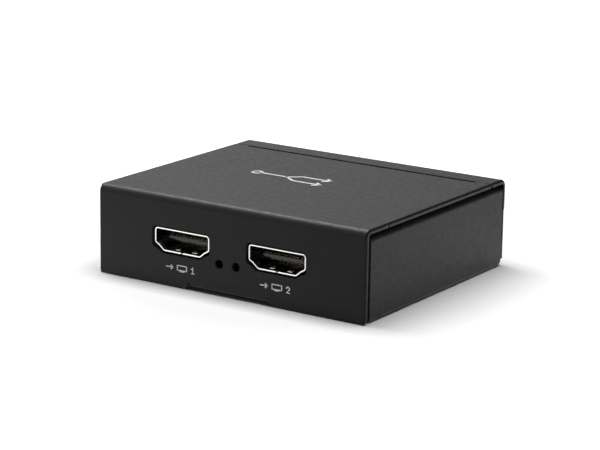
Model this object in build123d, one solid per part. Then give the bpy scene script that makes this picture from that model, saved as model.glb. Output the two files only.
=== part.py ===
from build123d import *
import math
import os

# A small two-way video splitter in a folded steel case, in millimetres.
# X runs to the right, Y runs from the front panel to the rear panel, Z is up.
# The origin is in the middle of the footprint, on the surface that the case stands on.

# How far a cutting shape runs past the surface that it opens
beyond = 1.0

# Case, outside
case_width = 70.0
case_depth = 59.5
case_height = 20.3

# Cover: front wall and top, folded from one sheet
cover_sheet = 1.0
cover_bend_inside = 0.7
cover_corner_radius = 0.8
edge_notch_from_front = 8.2
edge_notch_width = 0.35
edge_notch_depth = 0.5

# Rear panel: rear wall and a strip of the top
rear_strip_depth = 6.8
rear_strip_drop = 7.0
rear_wall_step = 0.1
rear_corner_lift = 1.45
rear_corner_run = 2.0
seam_gap = 0.6
seam_end_width = 4.0
seam_end_gap = 0.05

# Tray: bottom, side walls and the flanges that carry the top
tray_sheet = 0.6
tray_bend_inside = 0.5
flange_bend_inside = 1.4
tray_side_inset = 0.1
tray_front_setback = 1.95
tray_rear_gap = 0.1
tray_tongue_inset = 0.3
tray_flange_width = 4.4
tray_corner_chamfer = 1.1

# Screw tabs at the foot of the front wall and of the rear wall
tab_width = 20.8
tab_reach = 8.0
tab_bend_inside = 0.4
tab_slot_width = 0.3
relief_flat_width = 22.9
relief_slope_run = 0.7
wall_foot_clearance = 0.1

# Case screws, sunk flush into the tray
case_screw_pitch = 13.0
case_screw_from_wall = 5.2
case_screw_thread = 2.5
case_screw_head = 4.1
case_screw_end = 1.0
screw_clearance = 0.05

# Circuit board and what carries it
board_lip_clearance = 0.5
board_thickness = 1.6
board_wall_gap = 1.2
board_corner_radius = 1.0
standoff_across_flats = 5.0
standoff_shank = 3.9
standoff_floor = 1.4
standoff_hole_clearance = 0.1
standoff_side_margin = 3.0
standoff_end_margin = 5.0
board_screw_thread = 2.5
board_screw_hole_clearance = 0.15
board_screw_head = 4.6
board_screw_head_height = 1.6
board_screw_end_gap = 0.4
cross_slot_width = 0.6
cross_slot_span = 2.2
cross_slot_depth = 0.5
leg_slot_clearance = 0.2

# Video sockets: a folded metal shell, an insulator with a tongue, nineteen contacts
socket_pitch = 25.0
socket_rise = 3.2
socket_recess = 0.5
shell_wall = 0.35
shell_depth = 11.5
shell_inner_width = 14.0
shell_inner_height = 4.55
shell_side_height = 2.925
shell_knee_inset = 1.05
shell_knee_drop = 0.6
shell_foot_width = 9.5
shell_top_radius = 0.45
shell_side_radius = 0.4
shell_knee_radius = 0.5
shell_foot_radius = 0.5
shell_seam_width = 0.12
shell_leg_width = 1.2
shell_leg_below_board = 0.8
shell_leg_stations = (4.2, 9.2)
cutout_clearance = 0.4
cutout_shoulder_drop = 0.35

# Spring fingers punched out of the shell, two in the floor and two in the roof
finger_spacing = 4.6
finger_width = 1.2
finger_window_width = 1.9
finger_window_front = 1.3
finger_window_length = 5.2
finger_lift = 0.4
finger_tip_gap = 0.3
finger_bump_share = 0.25

# Insulator and contacts
insulator_clearance = 0.05
tongue_width = 11.2
tongue_thickness = 1.5
tongue_from_mouth = 2.3
tongue_chamfer = 0.3
insulator_block_depth = 3.5
insulator_rear_depth = 1.2
contact_pitch = 0.5
contact_count = 19
contact_width = 0.28
contact_thickness = 0.2
contact_from_tongue_tip = 0.5
contact_foot_length = 1.0
contact_groove_clearance = 0.02

# Input socket and power jack in the rear wall
input_socket_offset = -12.5
jack_offset = 14.0
jack_width = 9.0
jack_height = 11.0
jack_head_room = 1.3
jack_depth = 13.2
jack_wall_gap = 0.2
jack_nose_diameter = 7.4
jack_hole_clearance = 0.3
jack_nose_recess = 0.2
jack_bore_diameter = 6.3
jack_bore_depth = 9.6
jack_bore_height = 6.5
jack_pin_diameter = 2.0
jack_pin_rounding = 0.5
jack_pin_from_mouth = 1.2
jack_pin_tail_width = 2.0
jack_pin_tail = 0.6
jack_edge_chamfer = 0.6
jack_spring_width = 2.6
jack_spring_thickness = 0.3
jack_spring_front = 1.6
jack_spring_length = 7.0
jack_spring_seat = 1.8
jack_spring_lift = 0.4
jack_tail_below_board = 1.0
jack_fit = 0.05

# Indicator holes and the lamps behind them
indicator_pitch = 4.4
indicator_rise = 0.2
indicator_hole = 2.0
lamp_width = 1.6
lamp_height = 1.1
lamp_body_depth = 0.7
lamp_lens_depth = 0.5
lamp_from_board_edge = 0.1

# Splitter chip, its pad and its heat sink
chip_x = -3.0
chip_y = 0.0
chip_size = 14.0
chip_thickness = 1.2
chip_standoff = 0.1
chip_lead_pitch = 0.8
chip_leads_per_side = 16
chip_lead_reach = 1.0
chip_lead_width = 0.35
chip_lead_thickness = 0.15
lead_bend_share = 0.3
chip_edge_chamfer = 0.12
chip_dot_diameter = 0.9
chip_dot_inset = 1.0
chip_dot_depth = 0.1
thermal_pad_size = 12.0
thermal_pad_thickness = 0.5
heat_sink_size = 15.0
heat_sink_base = 1.6
heat_sink_height = 6.5
heat_sink_fins = 7
heat_sink_fin_thickness = 0.8

# Supply parts
regulator_x = 12.5
regulator_y = 7.0
regulator_length = 6.5
regulator_width = 3.5
regulator_height = 1.6
regulator_lead_count = 3
regulator_lead_pitch = 2.3
regulator_lead_width = 0.7
regulator_tab_width = 3.0
inductor_x = 12.5
inductor_y = -3.5
inductor_size = 6.0
inductor_height = 3.0
inductor_corner = 1.0
inductor_recess_diameter = 4.2
inductor_recess_depth = 0.5
can_x = 23.0
can_y = 12.0
can_spacing = 7.5
can_count = 3
can_diameter = 5.0
can_height = 5.4
can_base_size = 5.3
can_base_height = 0.9
can_base_cut = 1.0
can_edge_radius = 0.4
fuse_x = 23.0
fuse_y = -10.5
fuse_length = 4.5
fuse_width = 3.2
fuse_height = 0.9

# Clock crystal and memory chip
crystal_x = -19.0
crystal_gap = 1.0
crystal_length = 11.0
crystal_width = 4.6
crystal_height = 3.4
crystal_flange = 0.5
crystal_flange_height = 0.4
crystal_end_roundness = 0.98
memory_x = -18.5
memory_gap = 1.5
memory_length = 4.9
memory_width = 3.9
memory_height = 1.4
memory_lead_pitch = 1.27
memory_leads_per_side = 4

# Small chip parts
small_part_length = 1.6
small_part_width = 0.8
small_part_height = 0.6
small_part_pitch = 2.2
small_part_end = 0.35
capacitor_row_gap = 1.2
capacitors_per_row = 5
resistors_per_socket = 6
resistor_row_gap = 1.2
surge_part_length = 2.9
surge_part_width = 1.6
surge_part_height = 1.0
surge_part_pitch = 5.0
surge_row_gap = 3.6

# Places that follow from the sizes above
half_width = case_width / 2
front_y = -case_depth / 2
rear_y = case_depth / 2
top_underside = case_height - cover_sheet
cover_bend_outside = cover_bend_inside + cover_sheet
tab_bend_outside = tab_bend_inside + cover_sheet
tab_join_height = tray_sheet + tab_bend_outside
strip_front_y = rear_y - rear_strip_depth
cover_rear_y = strip_front_y - seam_gap
tray_half_width = half_width - tray_side_inset
tray_front_y = front_y + tray_front_setback
tray_wall_rear_y = rear_y - cover_sheet - tray_rear_gap
tray_bend_outside = tray_bend_inside + tray_sheet
flange_bend_outside = flange_bend_inside + tray_sheet
board_top = top_underside - jack_head_room - jack_height
board_underside_height = board_top - board_thickness
socket_centre_height = board_top + socket_rise
indicator_height = board_top + indicator_rise
board_front_y = front_y + cover_sheet + board_wall_gap
board_rear_y = rear_y - cover_sheet - board_wall_gap
board_width = 2 * (tray_half_width - tray_flange_width - board_lip_clearance)
standoff_x = board_width / 2 - standoff_side_margin
standoff_front_y = board_front_y + standoff_end_margin
standoff_rear_y = board_rear_y - standoff_end_margin
case_screw_length = tray_sheet + cover_sheet + case_screw_end
board_screw_tip = standoff_floor + board_screw_end_gap
case_screw_front_y = front_y + case_screw_from_wall
case_screw_rear_y = rear_y - case_screw_from_wall
socket_to_board = socket_centre_height - board_top
insulator_end = shell_depth + insulator_rear_depth
contact_end = insulator_end + contact_thickness + contact_foot_length
front_mouth_y = front_y + socket_recess
rear_mouth_y = rear_y - socket_recess
jack_face_y = rear_y - cover_sheet - jack_wall_gap
front_rows_end = front_mouth_y + contact_end + resistor_row_gap + small_part_length / 2
crystal_y = front_rows_end + crystal_gap + crystal_length / 2
memory_half_y = memory_width / 2 + chip_lead_reach
memory_y = crystal_y + crystal_length / 2 + memory_gap + memory_half_y


def block(x0, x1, y0, y1, z0, z1):
    """A box given by its limits."""
    middle = Pos((x0 + x1) / 2, (y0 + y1) / 2, (z0 + z1) / 2)
    return middle * Box(x1 - x0, y1 - y0, z1 - z0)


def outline(corners):
    """A flat face from corners given as (x, y, radius), rounded where the radius isn't zero."""
    entries = []
    exits = []
    edges = []
    for number, (x, y, radius) in enumerate(corners):
        before = Vector(*corners[number - 1][:2])
        after = Vector(*corners[(number + 1) % len(corners)][:2])
        corner = Vector(x, y)
        if radius == 0:
            entries.append(corner)
            exits.append(corner)
            continue
        back = (before - corner).normalized()
        ahead = (after - corner).normalized()
        half_angle = math.radians(back.get_angle(ahead)) / 2
        reach = radius / math.tan(half_angle)
        inward = (back + ahead).normalized()
        entries.append(corner + back * reach)
        exits.append(corner + ahead * reach)
        middle = corner + inward * (radius / math.sin(half_angle) - radius)
        edges.append(ThreePointArc(entries[-1], middle, exits[-1]))
    for number, start in enumerate(exits):
        end = entries[(number + 1) % len(entries)]
        if (end - start).length > 1e-6:
            edges.append(Line(start, end))
    return make_face(edges)


def across(face, x0, x1):
    """A face drawn in Y and Z, stretched from x0 to x1."""
    return Pos(x0, 0, 0) * extrude(Plane.YZ * face, x1 - x0, dir=(1, 0, 0))


def along(face, y0, y1):
    """A face drawn in X and Z, stretched from y0 to y1."""
    return Pos(0, y0, 0) * extrude(Plane.XZ * face, y1 - y0, dir=(0, 1, 0))


def rod(diameter, x, y, z0, z1):
    """An upright cylinder from z0 to z1."""
    return Pos(x, y, (z0 + z1) / 2) * Cylinder(diameter / 2, z1 - z0)


def mirrored_corners(right_side):
    """Corners of a symmetrical outline from those of its right side, given top to bottom."""
    left_side = [(-x, z, radius) for x, z, radius in reversed(right_side)]
    return right_side + left_side


def port_outline(grow=0.0, shoulder_drop=0.0):
    """The D shape of a video socket's mouth around its own centre, grown all round."""
    half = shell_inner_width / 2
    top = shell_inner_height / 2
    shoulder = top - shell_side_height
    knee_x = half - shell_knee_inset
    knee_z = shoulder - shell_knee_drop - shoulder_drop / 2
    mouth = outline(mirrored_corners([
        (half, top, shell_top_radius),
        (half, shoulder - shoulder_drop, shell_side_radius),
        (knee_x, knee_z, shell_knee_radius),
        (shell_foot_width / 2, -top, shell_foot_radius),
    ]))
    return offset(mouth, grow) if grow else mouth


def place_socket(shape, x, facing_front):
    """Move a piece of a socket from its own frame, mouth at Y zero, to its wall."""
    if facing_front:
        return Pos(x, front_y + socket_recess, socket_centre_height) * shape
    turned = Rot(0, 0, 180) * shape
    return Pos(x, rear_y - socket_recess, socket_centre_height) * turned


def wall_outline(half, top, half_low, low_top, corner_steps):
    """A wall with a foot that is relieved for a screw tab in its middle."""
    relief_inner = relief_flat_width / 2
    relief_outer = relief_inner + relief_slope_run
    slot_outer = tab_width / 2 + tab_slot_width
    right_side = [(half, top, 0)]
    if half_low != half:
        right_side += [(half, low_top, 0), (half_low, low_top, 0)]
    right_side += corner_steps
    foot = right_side[-1][1]
    if foot < tray_sheet:
        right_side += [(relief_outer, foot, 0), (relief_inner, tray_sheet, 0)]
        right_side += [(slot_outer, tray_sheet, 0)]
    else:
        right_side += [(slot_outer, foot, 0)]
    right_side += [(slot_outer, tab_join_height, 0)]
    return outline(mirrored_corners(right_side))


def screw_tab(wall_y, inward):
    """The tab that folds from the foot of a wall over the bottom of the tray."""
    inner_face = wall_y + inward * cover_sheet
    end = wall_y + inward * tab_reach
    tab_top = tray_sheet + cover_sheet
    section = outline([
        (wall_y, tab_join_height, 0),
        (wall_y, tray_sheet, tab_bend_outside),
        (end, tray_sheet, 0),
        (end, tab_top, 0),
        (inner_face, tab_top, tab_bend_inside),
        (inner_face, tab_join_height, 0),
    ])
    tab = across(section, -tab_width / 2, tab_width / 2)
    screw_y = wall_y + inward * case_screw_from_wall
    hole = case_screw_thread + 2 * screw_clearance
    for side in (-1, 1):
        tab -= rod(hole, side * case_screw_pitch / 2, screw_y, 0, tab_top + beyond)
    return tab


def cover_shell():
    """Front wall and top in one folded sheet."""
    bend_start = case_height - cover_bend_outside
    section = outline([
        (front_y, bend_start, 0),
        (front_y, case_height, cover_bend_outside),
        (cover_rear_y, case_height, 0),
        (cover_rear_y, top_underside, 0),
        (front_y + cover_sheet, top_underside, cover_bend_inside),
        (front_y + cover_sheet, bend_start, 0),
    ])
    cover = across(section, -half_width, half_width)
    foot_corner = [(half_width, 0, cover_corner_radius)]
    wall = wall_outline(half_width, bend_start, half_width, bend_start, foot_corner)
    cover += along(wall, front_y, front_y + cover_sheet)
    cover += screw_tab(front_y, 1)
    opening = port_outline(shell_wall + cutout_clearance, cutout_shoulder_drop)
    for side in (-1, 1):
        centre = Pos(side * socket_pitch / 2, 0, socket_centre_height)
        cover -= centre * along(opening, front_y - beyond, front_y + cover_sheet + beyond)
        lamp_hole = Cylinder(indicator_hole / 2, 4 * cover_sheet, rotation=(90, 0, 0))
        cover -= Pos(side * indicator_pitch / 2, front_y, indicator_height) * lamp_hole
        notch_y = front_y + edge_notch_from_front
        edges = sorted([side * half_width, side * (half_width - edge_notch_depth)])
        cover -= block(*edges, notch_y, notch_y + edge_notch_width, top_underside, case_height)
        ear = sorted([side * half_width, side * (half_width - seam_end_width)])
        ear_end = strip_front_y - seam_end_gap
        cover += block(*ear, cover_rear_y - beyond, ear_end, top_underside, case_height)
    return cover


def rear_panel():
    """Rear wall and the strip of the top behind the seam, folded from one sheet."""
    bend_start = case_height - cover_bend_outside
    section = outline([
        (rear_y, bend_start, 0),
        (rear_y, case_height, cover_bend_outside),
        (strip_front_y, case_height, 0),
        (strip_front_y, top_underside, 0),
        (rear_y - cover_sheet, top_underside, cover_bend_inside),
        (rear_y - cover_sheet, bend_start, 0),
    ])
    panel = across(section, -half_width, half_width)
    low_half = half_width - rear_wall_step
    foot = tray_sheet + wall_foot_clearance
    corner_steps = [
        (low_half, rear_corner_lift, 0),
        (low_half - rear_corner_run, rear_corner_lift, 0),
        (low_half - rear_corner_run, foot, 0),
    ]
    shoulder = case_height - rear_strip_drop
    wall = wall_outline(half_width, bend_start, low_half, shoulder, corner_steps)
    panel += along(wall, rear_y - cover_sheet, rear_y)
    panel += screw_tab(rear_y, -1)
    opening = port_outline(shell_wall + cutout_clearance, cutout_shoulder_drop)
    centre = Pos(input_socket_offset, 0, socket_centre_height)
    panel -= centre * along(opening, rear_y - cover_sheet - beyond, rear_y + beyond)
    jack_hole = jack_nose_diameter + 2 * jack_hole_clearance
    jack_centre = Pos(jack_offset, rear_y, board_top + jack_bore_height)
    panel -= jack_centre * Cylinder(jack_hole / 2, 4 * cover_sheet, rotation=(90, 0, 0))
    return panel


def base_tray():
    """Bottom, side walls and top flanges in one folded sheet."""
    inner = tray_half_width - tray_sheet
    lip = tray_half_width - tray_flange_width
    lip_underside = top_underside - tray_sheet
    section = outline(mirrored_corners([
        (tray_half_width, 0, tray_bend_outside),
        (tray_half_width, top_underside, flange_bend_outside),
        (lip, top_underside, 0),
        (lip, lip_underside, 0),
        (inner, lip_underside, flange_bend_inside),
        (inner, tray_sheet, tray_bend_inside),
    ]))
    tray = along(section, tray_front_y, tray_wall_rear_y)
    flat_half = tray_half_width - tray_bend_outside
    tongue_end = rear_y - tray_tongue_inset
    tray += block(-flat_half, flat_half, tray_wall_rear_y - beyond, tongue_end, 0, tray_sheet)
    corner = outline([
        (tray_wall_rear_y - tray_corner_chamfer, 0, 0),
        (tray_wall_rear_y, 0, 0),
        (tray_wall_rear_y, tray_corner_chamfer, 0),
    ])
    flange_rear_y = tray_wall_rear_y - cover_bend_inside
    tray -= block(-half_width, half_width, flange_rear_y, tray_wall_rear_y + beyond,
                  lip_underside, top_underside + beyond)
    for side in (-1, 1):
        tray -= across(corner, *sorted([side * flat_half, side * half_width]))
        for y in (standoff_front_y, standoff_rear_y):
            hole = standoff_shank + 2 * standoff_hole_clearance
            tray -= rod(hole, side * standoff_x, y, -beyond, tray_sheet + beyond)
        for y in (case_screw_front_y, case_screw_rear_y):
            sink = countersunk_head(screw_clearance)
            tray -= Pos(side * case_screw_pitch / 2, y, 0) * sink
    return tray


def countersunk_head(grow=0.0):
    """A flat screw head as tall as the tray's sheet, grown for its seat."""
    wide = case_screw_head / 2 + grow
    narrow = case_screw_thread / 2 + grow
    return Pos(0, 0, tray_sheet / 2) * Cone(wide, narrow, tray_sheet)


def cross_slot(z0, z1):
    """The cross in a screw head."""
    bar = block(-cross_slot_span / 2, cross_slot_span / 2,
                -cross_slot_width / 2, cross_slot_width / 2, z0, z1)
    return bar + Rot(0, 0, 90) * bar


def case_screw():
    """A flat screw, driven from below through the tray into a tab."""
    screw = countersunk_head() + rod(case_screw_thread, 0, 0, tray_sheet, case_screw_length)
    return screw - cross_slot(0, cross_slot_depth)


def board_screw():
    """A round-headed screw that holds the board down on its standoff."""
    head = rod(board_screw_head, 0, 0, board_top, board_top + board_screw_head_height)
    head = fillet(head.edges().sort_by(Axis.Z)[-1], board_screw_head_height / 2)
    shank = rod(board_screw_thread, 0, 0, board_screw_tip, board_top)
    head_top = board_top + board_screw_head_height
    return head + shank - cross_slot(head_top - cross_slot_depth, head_top)


def board_standoff():
    """A hexagonal standoff with a closed foot, pressed into the tray."""
    hexagon = RegularPolygon(standoff_across_flats / 2, 6, major_radius=False)
    post = extrude(Pos(0, 0, tray_sheet) * hexagon, board_underside_height - tray_sheet)
    post += rod(standoff_shank, 0, 0, 0, tray_sheet)
    bore = board_screw_thread + 2 * screw_clearance
    return post - rod(bore, 0, 0, standoff_floor, board_underside_height + beyond)


def at_standoffs(shape):
    """A copy of a shape at each of the four standoffs."""
    return [Pos(side * standoff_x, y, 0) * shape
            for side in (-1, 1) for y in (standoff_front_y, standoff_rear_y)]


def at_case_screws(shape):
    """A copy of a shape at each of the four screw tab holes."""
    return [Pos(side * case_screw_pitch / 2, y, 0) * shape
            for side in (-1, 1) for y in (case_screw_front_y, case_screw_rear_y)]


def socket_places():
    """Where each video socket stands: its node's ending, its X and whether it faces the front."""
    return [
        ("output_1", -socket_pitch / 2, True),
        ("output_2", socket_pitch / 2, True),
        ("input", input_socket_offset, False),
    ]


def circuit_board():
    """The board with its screw holes and the slots for legs and tails."""
    half = board_width / 2
    face = outline([
        (-half, board_front_y, board_corner_radius),
        (half, board_front_y, board_corner_radius),
        (half, board_rear_y, board_corner_radius),
        (-half, board_rear_y, board_corner_radius),
    ])
    board = Pos(0, 0, board_underside_height) * extrude(face, board_thickness, dir=(0, 0, 1))
    low = board_underside_height - beyond
    high = board_top + beyond
    hole = board_screw_thread + 2 * board_screw_hole_clearance
    for cutter in at_standoffs(rod(hole, 0, 0, low, high)):
        board -= cutter
    leg_x = shell_inner_width / 2 + shell_wall / 2
    half_x = shell_wall / 2 + leg_slot_clearance
    half_y = shell_leg_width / 2 + leg_slot_clearance
    for _, x, facing_front in socket_places():
        mouth = front_mouth_y if facing_front else rear_mouth_y
        inward = 1 if facing_front else -1
        for station in shell_leg_stations:
            y = mouth + inward * station
            for side in (-1, 1):
                slot_x = x + side * leg_x
                board -= block(slot_x - half_x, slot_x + half_x,
                               y - half_y, y + half_y, low, high)
    for x0, x1, y0, y1 in jack_tail_places():
        board -= block(x0 - leg_slot_clearance, x1 + leg_slot_clearance,
                       y0 - leg_slot_clearance, y1 + leg_slot_clearance, low, high)
    return board


def spring_finger(x):
    """One spring finger in the floor of a socket shell, rising to a bump near its tip."""
    outside = -shell_inner_height / 2 - shell_wall
    inside = -shell_inner_height / 2
    root = finger_window_front + finger_window_length
    tip = finger_window_front + finger_tip_gap
    bump = tip + (root - tip) * finger_bump_share
    section = outline([
        (root, outside, 0),
        (root, inside, 0),
        (bump, inside + finger_lift, 0),
        (tip, inside, 0),
        (tip, inside - shell_wall / 2, 0),
        (bump, inside + finger_lift - shell_wall, 0),
    ])
    return across(section, x - finger_width / 2, x + finger_width / 2)


def socket_shell():
    """Folded metal shell with its seam, spring fingers and four legs."""
    shell = along(port_outline(shell_wall), 0, shell_depth)
    shell -= along(port_outline(), -beyond, shell_depth + beyond)
    outside = shell_inner_height / 2 + shell_wall
    seam = shell_seam_width / 2
    shell -= block(-seam, seam, -beyond, shell_depth + beyond, -outside - beyond, 0)
    window_end = finger_window_front + finger_window_length
    for side in (-1, 1):
        x = side * finger_spacing / 2
        half = finger_window_width / 2
        shell -= block(x - half, x + half, finger_window_front, window_end,
                       -outside - beyond, outside + beyond)
        finger = spring_finger(x)
        shell += finger
        shell += mirror(finger, Plane.XY)
        inner_x = side * shell_inner_width / 2
        outer_x = side * (shell_inner_width / 2 + shell_wall)
        leg_end = -socket_to_board - board_thickness - shell_leg_below_board
        for station in shell_leg_stations:
            half_leg = shell_leg_width / 2
            edges = sorted([inner_x, outer_x])
            shell += block(*edges, station - half_leg, station + half_leg, leg_end, 0)
    return shell


def contact_stations():
    """X and row of each contact: ten in the upper row, nine between them in the lower."""
    first = -(contact_count - 1) / 2 * contact_pitch
    return [(first + number * contact_pitch, number % 2 == 0) for number in range(contact_count)]


def contact_section(upper):
    """A contact from the side: along the tongue, down behind the insulator, out on the board."""
    tip = tongue_from_mouth + contact_from_tongue_tip
    face = tongue_thickness / 2
    top = face if upper else contact_thickness - face
    board_face = -socket_to_board
    riser = insulator_end + contact_thickness
    return outline([
        (tip, top - contact_thickness, 0),
        (tip, top, 0),
        (riser, top, 0),
        (riser, board_face + contact_thickness, 0),
        (contact_end, board_face + contact_thickness, 0),
        (contact_end, board_face, 0),
        (insulator_end, board_face, 0),
        (insulator_end, top - contact_thickness, 0),
    ])


def socket_contacts():
    """The nineteen contacts of one socket."""
    half = contact_width / 2
    return [across(contact_section(upper), x - half, x + half) for x, upper in contact_stations()]


def socket_insulator():
    """Moulded block with the tongue, grooved for the contacts."""
    block_front = shell_depth - insulator_block_depth
    body = along(port_outline(-insulator_clearance), block_front, shell_depth)
    foot_half = shell_foot_width / 2 + contact_pitch
    body += block(-foot_half, foot_half, shell_depth, insulator_end,
                  -socket_to_board, tongue_thickness)
    half = tongue_width / 2
    face = tongue_thickness / 2
    tongue = block(-half, half, tongue_from_mouth, block_front, -face, face)
    front_edges = tongue.faces().sort_by(Axis.Y)[0].edges()
    body += chamfer(front_edges, tongue_chamfer)
    spare = contact_groove_clearance
    tip = tongue_from_mouth + contact_from_tongue_tip - spare
    for x, upper in contact_stations():
        reach = contact_width / 2 + spare
        top = face + spare if upper else contact_thickness - face + spare
        bottom = face - contact_thickness - spare if upper else -face - spare
        body -= block(x - reach, x + reach, tip, insulator_end + beyond, bottom, top)
    return body


def jack_tail_places():
    """The rectangles that the tails of the pin and the spring take in the board."""
    pin_half = jack_pin_tail_width / 2
    spring_half = jack_spring_width / 2
    rear = jack_face_y - jack_depth
    spring_y = jack_face_y - jack_spring_length
    return [
        (jack_offset - pin_half, jack_offset + pin_half, rear - jack_pin_tail, rear),
        (jack_offset - spring_half, jack_offset + spring_half,
         spring_y - jack_spring_thickness, spring_y),
    ]


def place_jack(shape):
    """Move a piece of the power jack from its own frame, mouth towards -Y, to the rear wall."""
    return Pos(jack_offset, jack_face_y, board_top) * (Rot(0, 0, 180) * shape)


def jack_nose_front():
    """Y of the nose's rim in the jack's own frame."""
    return -(jack_wall_gap + cover_sheet - jack_nose_recess)


def lying_rod(diameter, y0, y1):
    """A cylinder along Y on the axis of the jack's bore."""
    middle = Pos(0, (y0 + y1) / 2, jack_bore_height)
    return middle * Cylinder(diameter / 2, y1 - y0, rotation=(90, 0, 0))


def power_jack_housing():
    """Moulded block with a round nose, its bore, and room for the spring."""
    half = jack_width / 2
    housing = block(-half, half, 0, jack_depth, 0, jack_height)
    housing = chamfer(housing.edges().filter_by(Axis.Y).group_by(Axis.Z)[-1], jack_edge_chamfer)
    housing += lying_rod(jack_nose_diameter, jack_nose_front(), beyond)
    housing -= lying_rod(jack_bore_diameter, jack_nose_front() - beyond, jack_bore_depth)
    pin_hole = jack_pin_diameter + 2 * jack_fit
    housing -= lying_rod(pin_hole, jack_bore_depth - beyond, jack_depth + beyond)
    slot = jack_spring_width / 2 + jack_fit
    bore_floor = jack_bore_height - jack_bore_diameter / 2
    seat = jack_spring_seat - jack_fit
    front = jack_spring_front - jack_fit
    tail_front = jack_spring_length - jack_fit
    rear = jack_spring_length + jack_spring_thickness + jack_fit
    housing -= block(-slot, slot, front, rear, seat, bore_floor + beyond)
    housing -= block(-slot, slot, tail_front, rear, -beyond, jack_spring_seat)
    return housing


def power_jack_pin():
    """Centre pin, through the back of the housing, with a flat tail down into the board."""
    front = jack_nose_front() + jack_pin_from_mouth
    pin = lying_rod(jack_pin_diameter, front, jack_depth)
    pin = fillet(pin.edges().sort_by(Axis.Y)[0], jack_pin_rounding)
    half = jack_pin_tail_width / 2
    top = jack_bore_height + jack_pin_diameter / 2
    low = -board_thickness - jack_tail_below_board
    return pin + block(-half, half, jack_depth, jack_depth + jack_pin_tail, low, top)


def power_jack_spring():
    """Bent contact strip in the floor of the bore, with a tail down into the board."""
    half = jack_spring_width / 2
    low = -board_thickness - jack_tail_below_board
    bore_floor = jack_bore_height - jack_bore_diameter / 2
    rear = jack_spring_length + jack_spring_thickness
    crest = (jack_spring_front + jack_spring_length) / 2
    crest_top = bore_floor + jack_spring_lift
    section = outline([
        (jack_spring_length, low, 0),
        (rear, low, 0),
        (rear, jack_spring_seat + jack_spring_thickness, 0),
        (crest, crest_top, 0),
        (jack_spring_front, bore_floor, 0),
        (jack_spring_front, bore_floor - jack_spring_thickness, 0),
        (crest, crest_top - jack_spring_thickness, 0),
        (jack_spring_length, jack_spring_seat, 0),
    ])
    return across(section, -half, half)


def indicator_lamps(lens):
    """The two lamps behind the front wall's holes: their lenses or their bodies."""
    lens_front = board_front_y + lamp_from_board_edge
    lens_rear = lens_front + lamp_lens_depth
    ends = (lens_front, lens_rear) if lens else (lens_rear, lens_rear + lamp_body_depth)
    return [block(side * indicator_pitch / 2 - lamp_width / 2,
                  side * indicator_pitch / 2 + lamp_width / 2,
                  *ends, board_top, board_top + lamp_height) for side in (-1, 1)]


def gull_lead(height, reach, width):
    """One lead from the flank of a chip at X zero, out along X and down to the board."""
    bend = reach * lead_bend_share
    section = outline([
        (0, height, 0),
        (0, height + chip_lead_thickness, 0),
        (bend + chip_lead_thickness, height + chip_lead_thickness, 0),
        (bend + chip_lead_thickness, chip_lead_thickness, 0),
        (reach, chip_lead_thickness, 0),
        (reach, 0, 0),
        (bend, 0, 0),
        (bend, height, 0),
    ])
    return along(section, -width / 2, width / 2)


def lead_rows(x, y, half_size, count, pitch, lead, turns):
    """Rows of a lead round a chip's flanks, one row for each turn in degrees."""
    leads = []
    for turn in turns:
        for number in range(count):
            offset = (number - (count - 1) / 2) * pitch
            placed = Rot(0, 0, turn) * (Pos(half_size, offset, 0) * lead)
            leads.append(Pos(x, y, board_top) * placed)
    return leads


def chip_body(x, y, size_x, size_y, thickness):
    """A moulded chip with a dot for its first lead, standing just off the board."""
    bottom = board_top + chip_standoff
    body = block(x - size_x / 2, x + size_x / 2, y - size_y / 2, y + size_y / 2,
                 bottom, bottom + thickness)
    top_edges = body.faces().sort_by(Axis.Z)[-1].edges()
    body = chamfer(top_edges, chip_edge_chamfer)
    dot_x = x - size_x / 2 + chip_dot_inset
    dot_y = y - size_y / 2 + chip_dot_inset
    top = bottom + thickness
    return body - rod(chip_dot_diameter, dot_x, dot_y, top - chip_dot_depth, top + beyond)


def chip_leads():
    """Leads on the four flanks of the splitter chip."""
    lead = gull_lead(chip_standoff + chip_thickness / 2, chip_lead_reach, chip_lead_width)
    return lead_rows(chip_x, chip_y, chip_size / 2, chip_leads_per_side, chip_lead_pitch,
                     lead, (0, 90, 180, 270))


def memory_leads():
    """Leads on the two flanks of the memory chip."""
    lead = gull_lead(chip_standoff + memory_height / 2, chip_lead_reach, chip_lead_width)
    return lead_rows(memory_x, memory_y, memory_width / 2, memory_leads_per_side,
                     memory_lead_pitch, lead, (90, 270))


def regulator_leads():
    """Leads on one flank of the regulator and a broad tab on the other."""
    height = chip_standoff + regulator_height / 2
    lead = gull_lead(height, chip_lead_reach, regulator_lead_width)
    tab = gull_lead(height, chip_lead_reach, regulator_tab_width)
    half = regulator_width / 2
    leads = lead_rows(regulator_x, regulator_y, half, regulator_lead_count,
                      regulator_lead_pitch, lead, (270,))
    return leads + lead_rows(regulator_x, regulator_y, half, 1, 0, tab, (90,))


def thermal_pad():
    """Soft pad between the splitter chip and the heat sink."""
    half = thermal_pad_size / 2
    bottom = board_top + chip_standoff + chip_thickness
    return block(chip_x - half, chip_x + half, chip_y - half, chip_y + half,
                 bottom, bottom + thermal_pad_thickness)


def heat_sink():
    """Finned block on the thermal pad."""
    half = heat_sink_size / 2
    bottom = board_top + chip_standoff + chip_thickness + thermal_pad_thickness
    top = bottom + heat_sink_height
    sink = block(chip_x - half, chip_x + half, chip_y - half, chip_y + half,
                 bottom, bottom + heat_sink_base)
    step = (heat_sink_size - heat_sink_fin_thickness) / (heat_sink_fins - 1)
    for number in range(heat_sink_fins):
        x = chip_x - half + number * step
        sink += block(x, x + heat_sink_fin_thickness, chip_y - half, chip_y + half, bottom, top)
    return sink


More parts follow.
